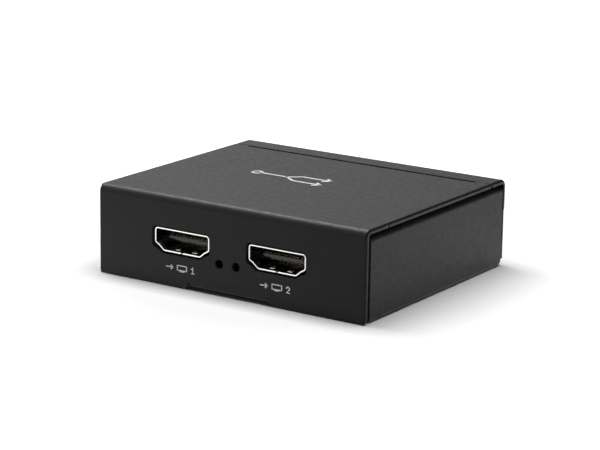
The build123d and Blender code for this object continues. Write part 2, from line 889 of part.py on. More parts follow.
def power_inductor():
    """Moulded coil with rounded corners and a shallow round dish on top."""
    half = inductor_size / 2
    face = outline([
        (-half, -half, inductor_corner),
        (half, -half, inductor_corner),
        (half, half, inductor_corner),
        (-half, half, inductor_corner),
    ])
    coil = extrude(face, inductor_height, dir=(0, 0, 1))
    dish_floor = inductor_height - inductor_recess_depth
    coil -= rod(inductor_recess_diameter, 0, 0, dish_floor, inductor_height + beyond)
    return Pos(inductor_x, inductor_y, board_top) * coil


def can_stations():
    """X and Y of each can capacitor, in a row towards the front."""
    return [(can_x, can_y - number * can_spacing) for number in range(can_count)]


def capacitor_can(x, y):
    """Round metal can on its base."""
    bottom = board_top + can_base_height
    can = rod(can_diameter, x, y, bottom, bottom + can_height)
    return fillet(can.edges().sort_by(Axis.Z)[-1], can_edge_radius)


def capacitor_base(x, y):
    """Square base with two cut corners."""
    half = can_base_size / 2
    cut = half - can_base_cut
    face = make_face(Polyline(
        (-half, -half), (cut, -half), (half, -cut), (half, cut), (cut, half), (-half, half),
        close=True))
    return Pos(x, y, board_top) * extrude(face, can_base_height, dir=(0, 0, 1))


def crystal():
    """Clock crystal in a long can with a flange at its foot."""
    def stadium(grow):
        half_x = crystal_width / 2 + grow
        half_y = crystal_length / 2 + grow
        radius = half_x * crystal_end_roundness
        return outline([
            (-half_x, -half_y, radius),
            (half_x, -half_y, radius),
            (half_x, half_y, radius),
            (-half_x, half_y, radius),
        ])
    can = extrude(stadium(-crystal_flange), crystal_height, dir=(0, 0, 1))
    can += extrude(stadium(0), crystal_flange_height, dir=(0, 0, 1))
    return Pos(crystal_x, crystal_y, board_top) * can


class ChipPart:
    """A small two-ended part on the board: its middle, and a metal end on each side."""

    def __init__(self, x, y, length, width, height, lengthwise_x):
        self.x = x
        self.y = y
        self.length = length
        self.width = width
        self.height = height
        self.turn = 0 if lengthwise_x else 90

    def piece(self, start, end):
        """The stretch of the part from start to end along its length."""
        shape = block(start, end, -self.width / 2, self.width / 2, 0, self.height)
        return Pos(self.x, self.y, board_top) * (Rot(0, 0, self.turn) * shape)

    def body(self):
        """The middle between the two ends."""
        reach = self.length / 2 - small_part_end
        return self.piece(-reach, reach)

    def ends(self):
        """The two metal ends."""
        half = self.length / 2
        return [self.piece(-half, small_part_end - half), self.piece(half - small_part_end, half)]


def small_part(x, y, lengthwise_x):
    """A chip part of the common small size."""
    return ChipPart(x, y, small_part_length, small_part_width, small_part_height, lengthwise_x)


def ceramic_capacitors():
    """A row of small capacitors beside each flank of the splitter chip."""
    row = chip_size / 2 + chip_lead_reach + capacitor_row_gap
    parts = []
    for number in range(capacitors_per_row):
        offset = (number - (capacitors_per_row - 1) / 2) * small_part_pitch
        for side in (-1, 1):
            parts.append(small_part(chip_x + side * row, chip_y + offset, True))
            parts.append(small_part(chip_x + offset, chip_y + side * row, False))
    return parts


def behind_socket(facing_front, gap):
    """Y of a row that lies a gap further in than the feet of a socket's contacts."""
    if facing_front:
        return front_mouth_y + contact_end + gap
    return rear_mouth_y - contact_end - gap


def chip_resistors():
    """A row of small resistors behind each socket."""
    parts = []
    for _, x, facing_front in socket_places():
        y = behind_socket(facing_front, resistor_row_gap)
        for number in range(resistors_per_socket):
            offset = (number - (resistors_per_socket - 1) / 2) * small_part_pitch
            parts.append(small_part(x + offset, y, False))
    return parts


def surge_arrays():
    """Two surge protection parts behind each socket's resistors."""
    return [ChipPart(x + side * surge_part_pitch / 2, behind_socket(facing_front, surge_row_gap),
                     surge_part_length, surge_part_width, surge_part_height, True)
            for _, x, facing_front in socket_places() for side in (-1, 1)]


def supply_fuse():
    """The resettable fuse in the supply line."""
    return ChipPart(fuse_x, fuse_y, fuse_length, fuse_width, fuse_height, True)


def all_parts():
    """Every node's name with its solids."""
    parts = {
        "cover_shell": [cover_shell()],
        "rear_panel": [rear_panel()],
        "base_tray": [base_tray()],
        "case_screws": at_case_screws(case_screw()),
        "board_standoffs": at_standoffs(board_standoff()),
        "board_screws": at_standoffs(board_screw()),
        "circuit_board": [circuit_board()],
        "power_jack_housing": [place_jack(power_jack_housing())],
        "power_jack_pin": [place_jack(power_jack_pin())],
        "power_jack_spring": [place_jack(power_jack_spring())],
        "indicator_lamp_bodies": indicator_lamps(False),
        "indicator_lamp_lenses": indicator_lamps(True),
        "splitter_chip": [chip_body(chip_x, chip_y, chip_size, chip_size, chip_thickness)],
        "splitter_chip_leads": chip_leads(),
        "thermal_pad": [thermal_pad()],
        "heat_sink": [heat_sink()],
        "memory_chip": [chip_body(memory_x, memory_y, memory_length, memory_width, memory_height)],
        "memory_chip_leads": memory_leads(),
        "voltage_regulator": [chip_body(regulator_x, regulator_y, regulator_length,
                                        regulator_width, regulator_height)],
        "voltage_regulator_leads": regulator_leads(),
        "power_inductor": [power_inductor()],
        "capacitor_cans": [capacitor_can(x, y) for x, y in can_stations()],
        "capacitor_bases": [capacitor_base(x, y) for x, y in can_stations()],
        "clock_crystal": [crystal()],
        "supply_fuse": [supply_fuse().body()],
        "ceramic_capacitors": [part.body() for part in ceramic_capacitors()],
        "chip_resistors": [part.body() for part in chip_resistors()],
        "surge_arrays": [part.body() for part in surge_arrays()],
    }
    two_ended = ceramic_capacitors() + chip_resistors() + surge_arrays() + [supply_fuse()]
    parts["chip_part_ends"] = [end for part in two_ended for end in part.ends()]
    shell = socket_shell()
    insulator = socket_insulator()
    contacts = socket_contacts()
    for name, x, facing_front in socket_places():
        placed = [place_socket(piece, x, facing_front) for piece in contacts]
        parts[name + "_socket_shell"] = [place_socket(shell, x, facing_front)]
        parts[name + "_socket_insulator"] = [place_socket(insulator, x, facing_front)]
        parts[name + "_socket_contacts"] = placed
    return parts


os.makedirs("parts", exist_ok=True)
for node, shapes in all_parts().items():
    solids = [solid for shape in shapes for solid in shape.solids()]
    whole = solids[0] if len(solids) == 1 else Compound(solids)
    export_step(whole, "parts/" + node + ".step")
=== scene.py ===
import math

import bmesh
import bpy
from bpy.props import FloatProperty, FloatVectorProperty, IntProperty, PointerProperty
from mathutils import Euler, Matrix, Vector
from mathutils.geometry import delaunay_2d_cdt


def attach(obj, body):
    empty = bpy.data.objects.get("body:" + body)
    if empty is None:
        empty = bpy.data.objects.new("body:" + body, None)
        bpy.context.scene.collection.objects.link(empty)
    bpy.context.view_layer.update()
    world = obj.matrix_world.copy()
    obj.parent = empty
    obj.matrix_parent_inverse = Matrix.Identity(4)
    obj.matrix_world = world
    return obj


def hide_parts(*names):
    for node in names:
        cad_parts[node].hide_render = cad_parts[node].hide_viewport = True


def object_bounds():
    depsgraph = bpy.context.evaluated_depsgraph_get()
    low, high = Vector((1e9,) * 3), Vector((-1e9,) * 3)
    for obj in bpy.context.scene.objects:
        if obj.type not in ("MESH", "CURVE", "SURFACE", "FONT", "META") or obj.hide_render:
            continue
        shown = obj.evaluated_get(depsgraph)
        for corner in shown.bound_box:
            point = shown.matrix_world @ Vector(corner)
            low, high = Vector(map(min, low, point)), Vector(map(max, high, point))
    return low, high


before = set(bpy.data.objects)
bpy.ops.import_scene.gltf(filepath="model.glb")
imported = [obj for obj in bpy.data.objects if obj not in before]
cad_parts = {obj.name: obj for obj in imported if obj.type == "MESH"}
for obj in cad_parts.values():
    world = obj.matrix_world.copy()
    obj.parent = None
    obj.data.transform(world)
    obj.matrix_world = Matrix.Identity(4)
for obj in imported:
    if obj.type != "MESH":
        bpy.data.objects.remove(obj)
cad_low, cad_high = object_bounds()

bl_info = {
    "name": "Video splitter box",
    "version": (1, 0, 0),
    "blender": (4, 5, 0),
    "location": "3D View > Sidebar > Splitter",
    "description": "Builds a small folded-steel video splitter and its studio around the packed part",
    "category": "Object",
}

# Sizes are in metres. X runs right, Y from the front wall to the rear wall, Z up
# from the surface that the case stands on.
MM = 0.001
BODY = "root"
QUARTER = math.pi / 2
ORIGIN = (0, 0, 0)
UPWARDS = (0, 0, 1)
TOWARDS_MOUTH = (0, -1, 0)
TO_THE_FRONT = (0, -1, 0)
TO_THE_REAR_LEFT = (-0.835, 0.55, 0)

# Two places nearer than this are one.
SAME_PLACE = 1e-7
# A vertex this near to a crease's line lies on it.
ON_CREASE = 1e-6
CAP_TOLERANCE = 1e-8
# A corner whose two sides have a smaller cross product, in square metres, is straight.
STRAIGHT = 1e-12

# Corner radii of the coated sheets, seen flat.
TOP_CORNER = 0.55 * MM
EAR_CORNER = 0.35 * MM
SEAM_CORNER = 0.3 * MM
RELIEF_INNER_CORNER = 0.3 * MM
RELIEF_OUTER_CORNER = 0.5 * MM
TRAY_CORNER = 0.3 * MM
TRAY_EDGE = 0.1 * MM

# Corner radii inside a socket's shell.
MOUTH_TOP_CORNER = 0.45 * MM
MOUTH_SHOULDER_CORNER = 0.4 * MM
MOUTH_FOOT_CORNER = 0.5 * MM


def length(name, description, default):
    """A property that holds a length."""
    return FloatProperty(name=name, description=description, default=default, unit="LENGTH",
                         precision=5)


def share(name, description, default):
    """A property that holds a number from 0 to 1."""
    return FloatProperty(name=name, description=description, default=default, min=0, max=1,
                         subtype="FACTOR")


def colour(name, description, default):
    """A property that holds a colour."""
    return FloatVectorProperty(name=name, description=description, default=default, size=3,
                               min=0, max=1, subtype="COLOR")


class CaseSizes(bpy.types.PropertyGroup):
    """Sizes of the folded case."""

    width: length("Width", "Case width, left to right", cad_high.x - cad_low.x)
    depth: length("Depth", "Case depth, front to back", cad_high.y - cad_low.y)
    height: length("Height", "Case height", cad_high.z - cad_low.z)
    sheet: length("Cover sheet", "Thickness of the cover and the rear panel", 1.0 * MM)
    bend: length("Cover bend", "Outside radius of the long bends", 1.7 * MM)
    corner: length("Foot corner", "Radius of the front wall's lower corners", 0.8 * MM)
    skin: length("Skin", "Room left over the coat for the printed marks", 0.03 * MM)
    edge: length("Edge rounding", "Rounding of cut sheet edges on the outside", 0.5 * MM)
    seam_edge: length("Seam rounding", "Rounding of the cover's edge at the seam", 0.3 * MM)
    burr_edge: length("Inner rounding", "Rounding of cut sheet edges on the inside", 0.1 * MM)
    left_edge: length("Left rounding", "Rounding of the top's left edge", 0.15 * MM)
    hole_edge: length("Hole rounding", "Rounding round the holes", 0.12 * MM)
    notch_from_front: length("Notch place", "Edge notch, from the front", 8.2 * MM)
    notch_width: length("Notch width", "Width of the edge notch", 0.35 * MM)
    notch_depth: length("Notch depth", "Depth of the edge notch", 0.5 * MM)
    strip: length("Rear strip", "Depth of the rear panel's strip of the top", 6.7 * MM)
    strip_drop: length("Wide part", "Height of the rear wall's wide upper part", 7.0 * MM)
    wall_step: length("Wall step", "How much narrower the rear wall is below", 0.1 * MM)
    corner_lift: length("Corner lift", "Height of the rear wall's raised corners", 1.45 * MM)
    corner_run: length("Corner run", "Length of the rear wall's raised corners", 2.0 * MM)
    seam: length("Seam", "Gap between the cover and the rear strip", 0.8 * MM)
    seam_end: length("Seam ends", "Length of the closed part at either end of the seam", 4.0 * MM)
    seam_touch: length("Closed seam", "Gap left in the closed part of the seam", 0.05 * MM)
    tray_sheet: length("Tray sheet", "Thickness of the tray", 0.6 * MM)
    tray_bend: length("Tray bend", "Outside radius of the tray's lower bends", 1.1 * MM)
    flange_bend: length("Flange bend", "Outside radius of the tray's upper bends", 2.0 * MM)
    tray_inset: length("Tray inset", "Side wall behind the edge of the top", 0.1 * MM)
    tray_setback: length("Tray setback", "Tray behind the front wall's face", 1.95 * MM)
    tray_gap: length("Tray gap", "Gap between the tray and the rear wall", 0.1 * MM)
    tongue_gap: length("Tongue gap", "Bottom in front of the rear wall's face", 0.3 * MM)
    flange: length("Flange", "Width of the tray's upper flanges", 4.4 * MM)
    flange_cut: length("Flange cut", "Flange ends in front of the side wall's end", 0.7 * MM)
    chamfer: length("Tray chamfer", "Cut at the side walls' lower rear corners", 1.1 * MM)
    tab: length("Tab width", "Width of the screw tabs", 20.8 * MM)
    tab_reach: length("Tab reach", "Reach of the screw tabs from the wall's face", 8.0 * MM)
    tab_bend: length("Tab bend", "Outside radius of the tabs' bends", 1.4 * MM)
    tab_slot: length("Tab slot", "Width of the slots beside the tabs", 0.12 * MM)
    tab_corner: length("Tab corner", "Radius of the tabs' free corners", 0.6 * MM)
    relief: length("Relief", "Half width of the relief in the front wall's foot", 11.45 * MM)
    relief_slope: length("Relief slope", "Run of the relief's sloping ends", 0.7 * MM)
    foot_gap: length("Foot gap", "Gap under the rear wall", 0.1 * MM)
    screw_pitch: length("Screw pitch", "Distance between the two screws of a tab", 13.0 * MM)
    screw_from_wall: length("Screw place", "Screws, from the wall's face", 5.2 * MM)
    screw_head: length("Screw head", "Diameter of the flush screw heads", 4.1 * MM)
    screw_thread: length("Screw thread", "Diameter of the screws", 2.5 * MM)
    screw_length: length("Screw length", "Length of the case screws", 2.8 * MM)
    screw_gap: length("Screw gap", "Gap round a screw", 0.05 * MM)
    standoff_x: length("Standoff X", "Standoffs, from the middle", 27.0 * MM)
    standoff_y: length("Standoff Y", "Standoffs, from the middle", 22.55 * MM)
    standoff_foot: length("Standoff foot", "Diameter of the standoffs' feet", 3.9 * MM)
    standoff_flats: length("Standoff flats", "Standoffs across flats", 5.0 * MM)
    standoff_top: length("Standoff top", "Height of the standoffs", 5.4 * MM)
    standoff_gap: length("Standoff gap", "Gap round a standoff's foot", 0.1 * MM)
    lamp_pitch: length("Lamp pitch", "Distance between the indicator holes", 4.4 * MM)
    lamp_height: length("Lamp height", "Height of the indicator holes", 7.2 * MM)
    lamp_hole: length("Lamp hole", "Diameter of the indicator holes", 2.0 * MM)
    bend_steps: IntProperty(name="Bend steps", description="Faces round a bend", default=12, min=4)


class SocketSizes(bpy.types.PropertyGroup):
    """Sizes of the video sockets."""

    pitch: length("Pitch", "Distance between the front sockets", 25.0 * MM)
    input_x: length("Input place", "Input socket's place in the rear wall", -12.5 * MM)
    centre: length("Centre height", "Height of the sockets' centres", 10.2 * MM)
    board_top: length("Board top", "Height of the board's upper face", 7.0 * MM)
    recess: length("Recess", "Rims behind the wall's face", 0.5 * MM)
    wall: length("Shell wall", "Thickness of the shell", 0.35 * MM)
    shell: length("Shell depth", "Depth of the shell", 11.5 * MM)
    width: length("Mouth width", "Inner width of the shell", 14.0 * MM)
    height: length("Mouth height", "Inner height of the shell", 4.55 * MM)
    side: length("Side height", "Height of the mouth's straight sides", 2.925 * MM)
    knee_inset: length("Knee inset", "Knee, in from the side", 1.05 * MM)
    knee_drop: length("Knee drop", "Knee, below the shoulder", 0.6 * MM)
    foot: length("Foot width", "Width of the mouth's floor", 9.5 * MM)
    seam: length("Shell seam", "Gap of the seam in the shell's floor", 0.12 * MM)
    finger_spacing: length("Finger spacing", "Between a shell's two fingers", 4.6 * MM)
    finger: length("Finger width", "Width of a spring finger", 1.2 * MM)
    window: length("Window width", "Width of a finger's window", 1.9 * MM)
    window_front: length("Window front", "Window, behind the mouth", 1.3 * MM)
    window_length: length("Window length", "Length of the window", 5.2 * MM)
    tip_gap: length("Tip gap", "Gap in front of a finger's tip", 0.3 * MM)
    lift: length("Finger lift", "How far a finger's crest stands up", 0.4 * MM)
    leg: length("Leg width", "Width of the shell's legs", 1.2 * MM)
    clearance: length("Cut-out clearance", "Gap round the shell in the wall", 0.4 * MM)
    shoulder_drop: length("Shoulder drop", "Cut-out's shoulders, lower than the shell's",
                          0.35 * MM)
    tongue: length("Tongue width", "Width of the tongue", 11.2 * MM)
    tongue_thickness: length("Tongue thickness", "Thickness of the tongue", 1.42 * MM)
    tongue_nose: length("Tongue nose", "Rounding of the tongue's front edges", 0.64 * MM)
    tongue_from_mouth: length("Tongue place", "Tongue, behind the mouth", 2.3 * MM)
    block: length("Block depth", "Depth of the moulded block in the shell", 3.5 * MM)
    back: length("Back depth", "Depth of the moulding behind the shell", 1.2 * MM)
    contact: length("Contact width", "Width of a contact", 0.28 * MM)
    contact_thickness: length("Contact thickness", "Thickness of a contact", 0.2 * MM)
    contact_pitch: length("Contact pitch", "Between neighbouring contacts", 0.5 * MM)
    contact_face: length("Contact face", "Contact faces, from the tongue's middle", 0.75 * MM)
    contact_foot: length("Contact foot", "Length of a contact's foot", 1.0 * MM)


class JackSizes(bpy.types.PropertyGroup):
    """Sizes of the power jack."""

    x: length("Place", "Jack's place in the rear wall", 14.0 * MM)
    width: length("Width", "Width of the housing", 9.0 * MM)
    height: length("Height", "Height of the housing", 11.0 * MM)
    depth: length("Depth", "Depth of the housing", 13.2 * MM)
    wall_gap: length("Wall gap", "Gap between the housing and the wall", 0.2 * MM)
    hole: length("Hole", "Diameter of the hole in the wall", 8.0 * MM)
    nose: length("Nose", "Diameter of the nose", 7.4 * MM)
    nose_recess: length("Nose recess", "Nose behind the wall's face", 0.2 * MM)
    bore: length("Bore", "Diameter of the bore", 6.3 * MM)
    bore_depth: length("Bore depth", "Depth of the bore in the housing", 9.6 * MM)
    axis: length("Axis", "Bore's axis above the board", 6.5 * MM)
    pin: length("Pin", "Diameter of the pin", 2.0 * MM)
    pin_front: length("Pin place", "Pin behind the nose's rim", 1.2 * MM)
    chamfer: length("Chamfer", "Cut along the housing's upper edges", 0.6 * MM)
    tail: length("Tail", "Thickness of the pin's tail", 0.6 * MM)
    tail_low: length("Tail depth", "Tails below the board's top", 2.6 * MM)
    spring: length("Spring width", "Width of the contact strip", 2.6 * MM)
    spring_sheet: length("Spring sheet", "Thickness of the contact strip", 0.3 * MM)
    spring_front: length("Spring place", "Strip's front end, behind the face", 1.6 * MM)
    spring_rear: length("Spring end", "Strip's bend, behind the face", 7.0 * MM)
    spring_seat: length("Spring seat", "Strip's rear bend above the board", 1.8 * MM)
    spring_lift: length("Spring lift", "Strip's crest above the bore's floor", 0.4 * MM)


class CoatLook(bpy.types.PropertyGroup):
    """Looks of the powder coat and the print on it."""

    base: colour("Coat", "Colour of the powder coat", (0.006, 0.006, 0.0063))
    # Lighter coat for the cut edges: a painted highlight, laid on in patches like rubbed coat.
    cut_edge_tone: colour("Edge highlight coat", "Colour of the coat along cut edges", (0.035, 0.035, 0.036))
    print_ink: colour("Print", "Colour of the printed marks", (0.8, 0.8, 0.79))
    roughness: share("Roughness", "Roughness of the coat", 0.38)
    gloss: share("Gloss", "Specular level of the coat", 0.16)
    grain: length("Grain", "Size of the coat's fine grain", 0.4 * MM)
    relief: length("Grain height", "Height of the coat's grain", 0.055 * MM)


class StageLook(bpy.types.PropertyGroup):
    """The studio round the object."""

    key_power: FloatProperty(name="Overhead lamp", description="Power of the large soft lamp",
                             default=4.9, min=0, subtype="POWER", unit="POWER")
    sheen_power: FloatProperty(name="Sheen lamp", description="Power of the lamp for the bends",
                               default=4.8, min=0, subtype="POWER", unit="POWER")
    lamp_height: length("Lamp height", "Height of the two large lamps", 0.6)
    fill: FloatProperty(name="Fill", description="Strength of the even light from all round",
                        default=0.06, min=0)
    rear_white: share("Rear card", "Strength of the white card behind, in reflections", 0.8)
    front_white: FloatProperty(name="Front card", description="Strength of the white card in "
                               "front, in reflections", default=1.5, min=0)
    floor: colour("Floor", "Colour of the floor", (0.93, 0.93, 0.93))
    floor_reach: length("Floor reach", "Floor's edges from the middle", 3.0)
    floor_drop: length("Floor drop", "Room left between the floor and the case", 0.02 * MM)
    far_lift: FloatProperty(name="Far floor lift", description="White added far from the object",
                            default=0.8, min=0)
    front_lift: FloatProperty(name="Front floor lift", description="White at the front left, in "
                              "reflections", default=0.6, min=0)
    rear_lift: FloatProperty(name="Rear floor lift", description="White at the rear right, in "
                             "reflections", default=0.33, min=0)
    near_lift: FloatProperty(name="Near floor lift", description="White all round, in "
                             "reflections", default=0.15, min=0)
    lens: FloatProperty(name="Focal length", description="Camera's focal length",
                        default=134.46, min=1, unit="CAMERA")
    eye: FloatVectorProperty(name="Camera place", description="Where the camera stands",
                             default=(0.268451, -0.407984, 0.135752), size=3,
                             subtype="TRANSLATION", precision=6)
    gaze: FloatVectorProperty(name="Camera turn", description="How the camera is turned",
                              default=[math.radians(a) for a in (75.57242, -0.85164, 33.67169)],
                              size=3, subtype="EULER", precision=6)


class Wire:
    """One output of a node. Plain arithmetic on it adds Math nodes."""

    def __init__(self, tree, socket):
        self.tree = tree
        self.socket = socket

    def math(self, operation, left, right):
        return self.tree.node("ShaderNodeMath", {"operation": operation}, {0: left, 1: right})

    def __add__(self, other):
        return self.math("ADD", self, other)

    def __radd__(self, other):
        return self.math("ADD", other, self)

    def __sub__(self, other):
        return self.math("SUBTRACT", self, other)

    def __rsub__(self, other):
        return self.math("SUBTRACT", other, self)

    def __mul__(self, other):
        return self.math("MULTIPLY", self, other)

    def __rmul__(self, other):
        return self.math("MULTIPLY", other, self)


class NodeTree:
    """A node tree that is filled one node at a time."""

    def __init__(self, tree):
        self.tree = tree

    def node(self, kind, settings=None, sockets=None, output=0):
        """Add a node, set it up, then give its sockets values or links."""
        made = self.tree.nodes.new(kind)
        for name, value in (settings or {}).items():
            if name == "stops":
                self.set_stops(made.color_ramp, value)
            else:
                setattr(made, name, value)
        for key, value in (sockets or {}).items():
            if isinstance(value, Wire):
                self.tree.links.new(value.socket, made.inputs[key])
            else:
                made.inputs[key].default_value = value
        return Wire(self, made.outputs[output]) if made.outputs else made

    @staticmethod
    def set_stops(ramp, stops):
        """Give a colour ramp its (place, grey) stops."""
        while len(ramp.elements) < len(stops):
            ramp.elements.new(1.0)
        for element, (place, grey) in zip(ramp.elements, stops):
            element.position = place
            element.color = (grey, grey, grey, 1)

    def ramp(self, value, *stops):
        """A grey that follows a value through (place, grey) stops."""
        return self.node("ShaderNodeValToRGB", {"stops": stops}, {"Fac": value})

    def ray(self, kind):
        """1 for rays of one kind, such as Camera, and 0 for all others."""
        return self.node("ShaderNodeLightPath", output=f"Is {kind} Ray")


class Finish(NodeTree):
    """A material under construction."""

    def __init__(self, name):
        self.material = bpy.data.materials.new(name)
        self.material.use_nodes = True
        super().__init__(self.material.node_tree)
        self.tree.nodes.clear()
        self.place = self.node("ShaderNodeTexCoord", output="Object")

    def noise(self, size, detail, stretch=(1, 1, 1), offset=0.0):
        """Grey noise with grains of about the given size."""
        place = self.node("ShaderNodeMapping", None, {
            "Vector": self.place, "Scale": stretch, "Location": (offset, offset, offset)})
        return self.node("ShaderNodeTexNoise", None, {
            "Vector": place, "Scale": 1 / size, "Detail": detail})

    def cells(self, size, feature="F1"):
        """Distance to the nearest of many scattered points."""
        return self.node("ShaderNodeTexVoronoi", {"feature": feature}, {
            "Vector": self.place, "Scale": 1 / size}, "Distance")

    def cut_edge_mask(self):
        """1 on the rounded cut edges that the mesh marks, 0 elsewhere."""
        return self.node("ShaderNodeAttribute", {"attribute_name": "edge"}, output="Fac")

    def mix(self, factor, low, high):
        """A colour between two colours, at the node's colour sockets, 6 and 7."""
        colours = [c if isinstance(c, Wire) else (*c, 1) for c in (low, high)]
        return self.node("ShaderNodeMix", {"data_type": "RGBA"}, {
            0: factor, 6: colours[0], 7: colours[1]}, 2)

    def bump(self, height, depth):
        """A normal from a height that runs from 0 to 1 over the given depth."""
        return self.node("ShaderNodeBump", None, {
            "Height": height, "Distance": depth, "Strength": 1.0})

    def shade(self, **sockets):
        """Finish with the main shader. Names have _ for a space."""
        values = {}
        for key, value in sockets.items():
            words = key.replace("_", " ")
            fixed = not isinstance(value, Wire) and hasattr(value, "__len__") and len(value) == 3
            values[words] = (*value, 1) if fixed else value
        shader = self.node("ShaderNodeBsdfPrincipled", None, values)
        self.node("ShaderNodeOutputMaterial", None, {"Surface": shader})
        return self.material


finishes = {}


def finish_once(build):
    """Build each finish the first time that it is asked for."""

    def found(name, **settings):
        if name not in finishes:
            finishes[name] = build(name, **settings)
        return finishes[name]

    return found


def toned(tone, factor):
    """A colour made darker or lighter by a factor."""
    return [min(1, c * factor) for c in tone]


@finish_once
def powder_coat(name, look):
    """Black powder coat: fine orange peel, tiny pale specks, and cut edges painted lighter in
    patches: a painted highlight that looks like rubbed coat.
    """
    f = Finish(name)
    grain = f.noise(look.grain, detail=2.0)
    peel = f.noise(look.grain * 3, detail=1.0, offset=3.1)
    cloud = f.noise(9 * MM, detail=2.0, offset=7.7)
    dots = f.noise(look.grain * 0.7, detail=0.0, offset=1.3)
    speck = f.ramp(dots, (0.66, 0), (0.78, 1))
    edge_breakup = f.noise(1.1 * MM, detail=3.0, offset=5.0)
    edge_weight = f.cut_edge_mask() * f.ramp(edge_breakup, (0.35, 0.25), (0.7, 1))
    tone = f.mix(f.ramp(cloud, (0.3, 0), (0.7, 1)), toned(look.base, 0.88),
                 toned(look.base, 1.12))
    tone = f.mix(speck * 0.35, tone, toned(look.base, 2.6))
    # Painted highlight: the cut edges get a lighter coat colour, in patches, to stand for the light
    # that they catch.
    tone = f.mix(edge_weight, tone, look.cut_edge_tone)
    roughness = look.roughness + grain * 0.12 + peel * 0.2 - 0.16 - edge_weight * 0.08
    height = grain * 0.75 + peel * 0.25
    return f.shade(Base_Color=tone, Roughness=roughness, Specular_IOR_Level=look.gloss,
                   Normal=f.bump(height, look.relief))


@finish_once
def plated_metal(name, tone, roughness, grain):
    """Plated sheet metal: rolled grain, faint smudges, rubbed bright edges."""
    f = Finish(name)
    rolled = f.noise(grain, detail=2.0, stretch=(1, 0.12, 1))
    smudge = f.noise(2.2 * MM, detail=3.0, offset=2.0)
    edge_weight = f.cut_edge_mask()
    tint = f.mix(f.ramp(smudge, (0.35, 0), (0.7, 1)), toned(tone, 0.86), tone)
    tint = f.mix(edge_weight * 0.6, tint, toned(tone, 1.12))
    rough = roughness + smudge * 0.12 + rolled * 0.06 - 0.09
    return f.shade(Base_Color=tint, Metallic=1.0, Roughness=rough,
                   Normal=f.bump(rolled, 0.004 * MM))


@finish_once
def moulded_plastic(name, tone, roughness, grain):
    """Moulded plastic: spark-eroded grain, flow clouds and slightly polished edges."""
    f = Finish(name)
    fine = f.noise(grain, detail=3.0)
    flow = f.noise(2.8 * MM, detail=2.0, stretch=(1, 0.5, 1), offset=4.0)
    edge_weight = f.cut_edge_mask()
    tint = f.mix(f.ramp(flow, (0.3, 0), (0.7, 1)), toned(tone, 0.85), toned(tone, 1.15))
    tint = f.mix(edge_weight * 0.3, tint, toned(tone, 1.8))
    rough = roughness + fine * 0.14 - 0.07 - edge_weight * 0.1
    return f.shade(Base_Color=tint, Roughness=rough, Normal=f.bump(fine, 0.01 * MM))


@finish_once
def turned_metal(name, tone, roughness):
    """Turned metal: fine rings from the tool and dull patches."""
    f = Finish(name)
    rings = f.noise(0.09 * MM, detail=1.0, stretch=(0.2, 0.2, 1))
    dull = f.noise(0.9 * MM, detail=3.0, offset=6.0)
    tint = f.mix(f.ramp(dull, (0.35, 0), (0.7, 1)), tone, toned(tone, 0.8))
    tint = f.mix(f.cut_edge_mask() * 0.5, tint, toned(tone, 1.5))
    return f.shade(Base_Color=tint, Metallic=1.0, Roughness=roughness + dull * 0.16 - 0.08,
                   Normal=f.bump(rings, 0.005 * MM))


@finish_once
def drawn_aluminium(name, tone, roughness):
    """Drawn or extruded aluminium: long fine lines and an uneven satin."""
    f = Finish(name)
    lines = f.noise(0.12 * MM, detail=2.0, stretch=(1, 0.03, 1))
    satin = f.noise(1.6 * MM, detail=2.0, offset=8.0)
    tint = f.mix(f.ramp(lines, (0.3, 0), (0.75, 1)), toned(tone, 0.82), tone)
    return f.shade(Base_Color=tint, Metallic=1.0, Roughness=roughness + satin * 0.14 - 0.07,
                   Normal=f.bump(lines, 0.006 * MM))


@finish_once
def board_laminate(name, mask, copper):
    """Circuit board: solder mask over woven glass, with tracks that show through."""
    f = Finish(name)
    warp, weft = (
        f.node("ShaderNodeTexWave", {"wave_type": "BANDS", "bands_direction": direction}, {
            "Vector": f.place, "Scale": 0.28 / MM, "Distortion": 0.6})
        for direction in "XY")
    weave = warp * 0.5 + weft * 0.5
    tracks = f.ramp(f.cells(3.2 * MM, "DISTANCE_TO_EDGE"), (0.05, 1), (0.09, 0))
    pour = f.ramp(f.noise(7 * MM, detail=0.0, offset=2.4), (0.49, 0), (0.5, 1))
    under = f.mix(weave * 0.35, mask, toned(mask, 1.7))
    tint = f.mix(tracks * 0.5 + pour * 0.25, under, copper)
    height = tracks * 0.6 + weave * 0.15
    return f.shade(Base_Color=tint, Roughness=0.32 + weave * 0.1, Coat_Weight=0.3,
                   Normal=f.bump(height, 0.03 * MM))


@finish_once
def fired_ceramic(name, tone):
    """Fired or lacquered body of a chip part: mottled, slightly pitted."""
    f = Finish(name)
    mottle = f.noise(0.25 * MM, detail=3.0)
    pits = f.ramp(f.cells(0.12 * MM), (0.05, 0), (0.25, 1))
    tint = f.mix(mottle, toned(tone, 0.75), toned(tone, 1.2))
    return f.shade(Base_Color=tint, Roughness=0.5 + mottle * 0.2,
                   Normal=f.bump(pits, 0.006 * MM))


@finish_once
def clear_resin(name, tone):
    """Clear cast resin with faint swirls."""
    f = Finish(name)
    swirl = f.noise(0.5 * MM, detail=2.0)
    tint = f.mix(swirl, toned(tone, 0.85), tone)
    return f.shade(Base_Color=tint, Roughness=0.12 + swirl * 0.1, Transmission_Weight=0.6,
                   Normal=f.bump(swirl, 0.004 * MM))


@finish_once
def printed_ink(name, tone):
    """Screen-printed ink: slightly uneven cover with a fine mesh grain."""
    f = Finish(name)
    thin = f.noise(0.35 * MM, detail=3.0)
    mesh = f.noise(0.07 * MM, detail=1.0, offset=1.0)
    tint = f.mix(f.ramp(thin, (0.3, 0), (0.6, 1)), toned(tone, 0.82), tone)
    return f.shade(Base_Color=tint, Roughness=0.55 + thin * 0.1,
                   Normal=f.bump(mesh, 0.003 * MM))


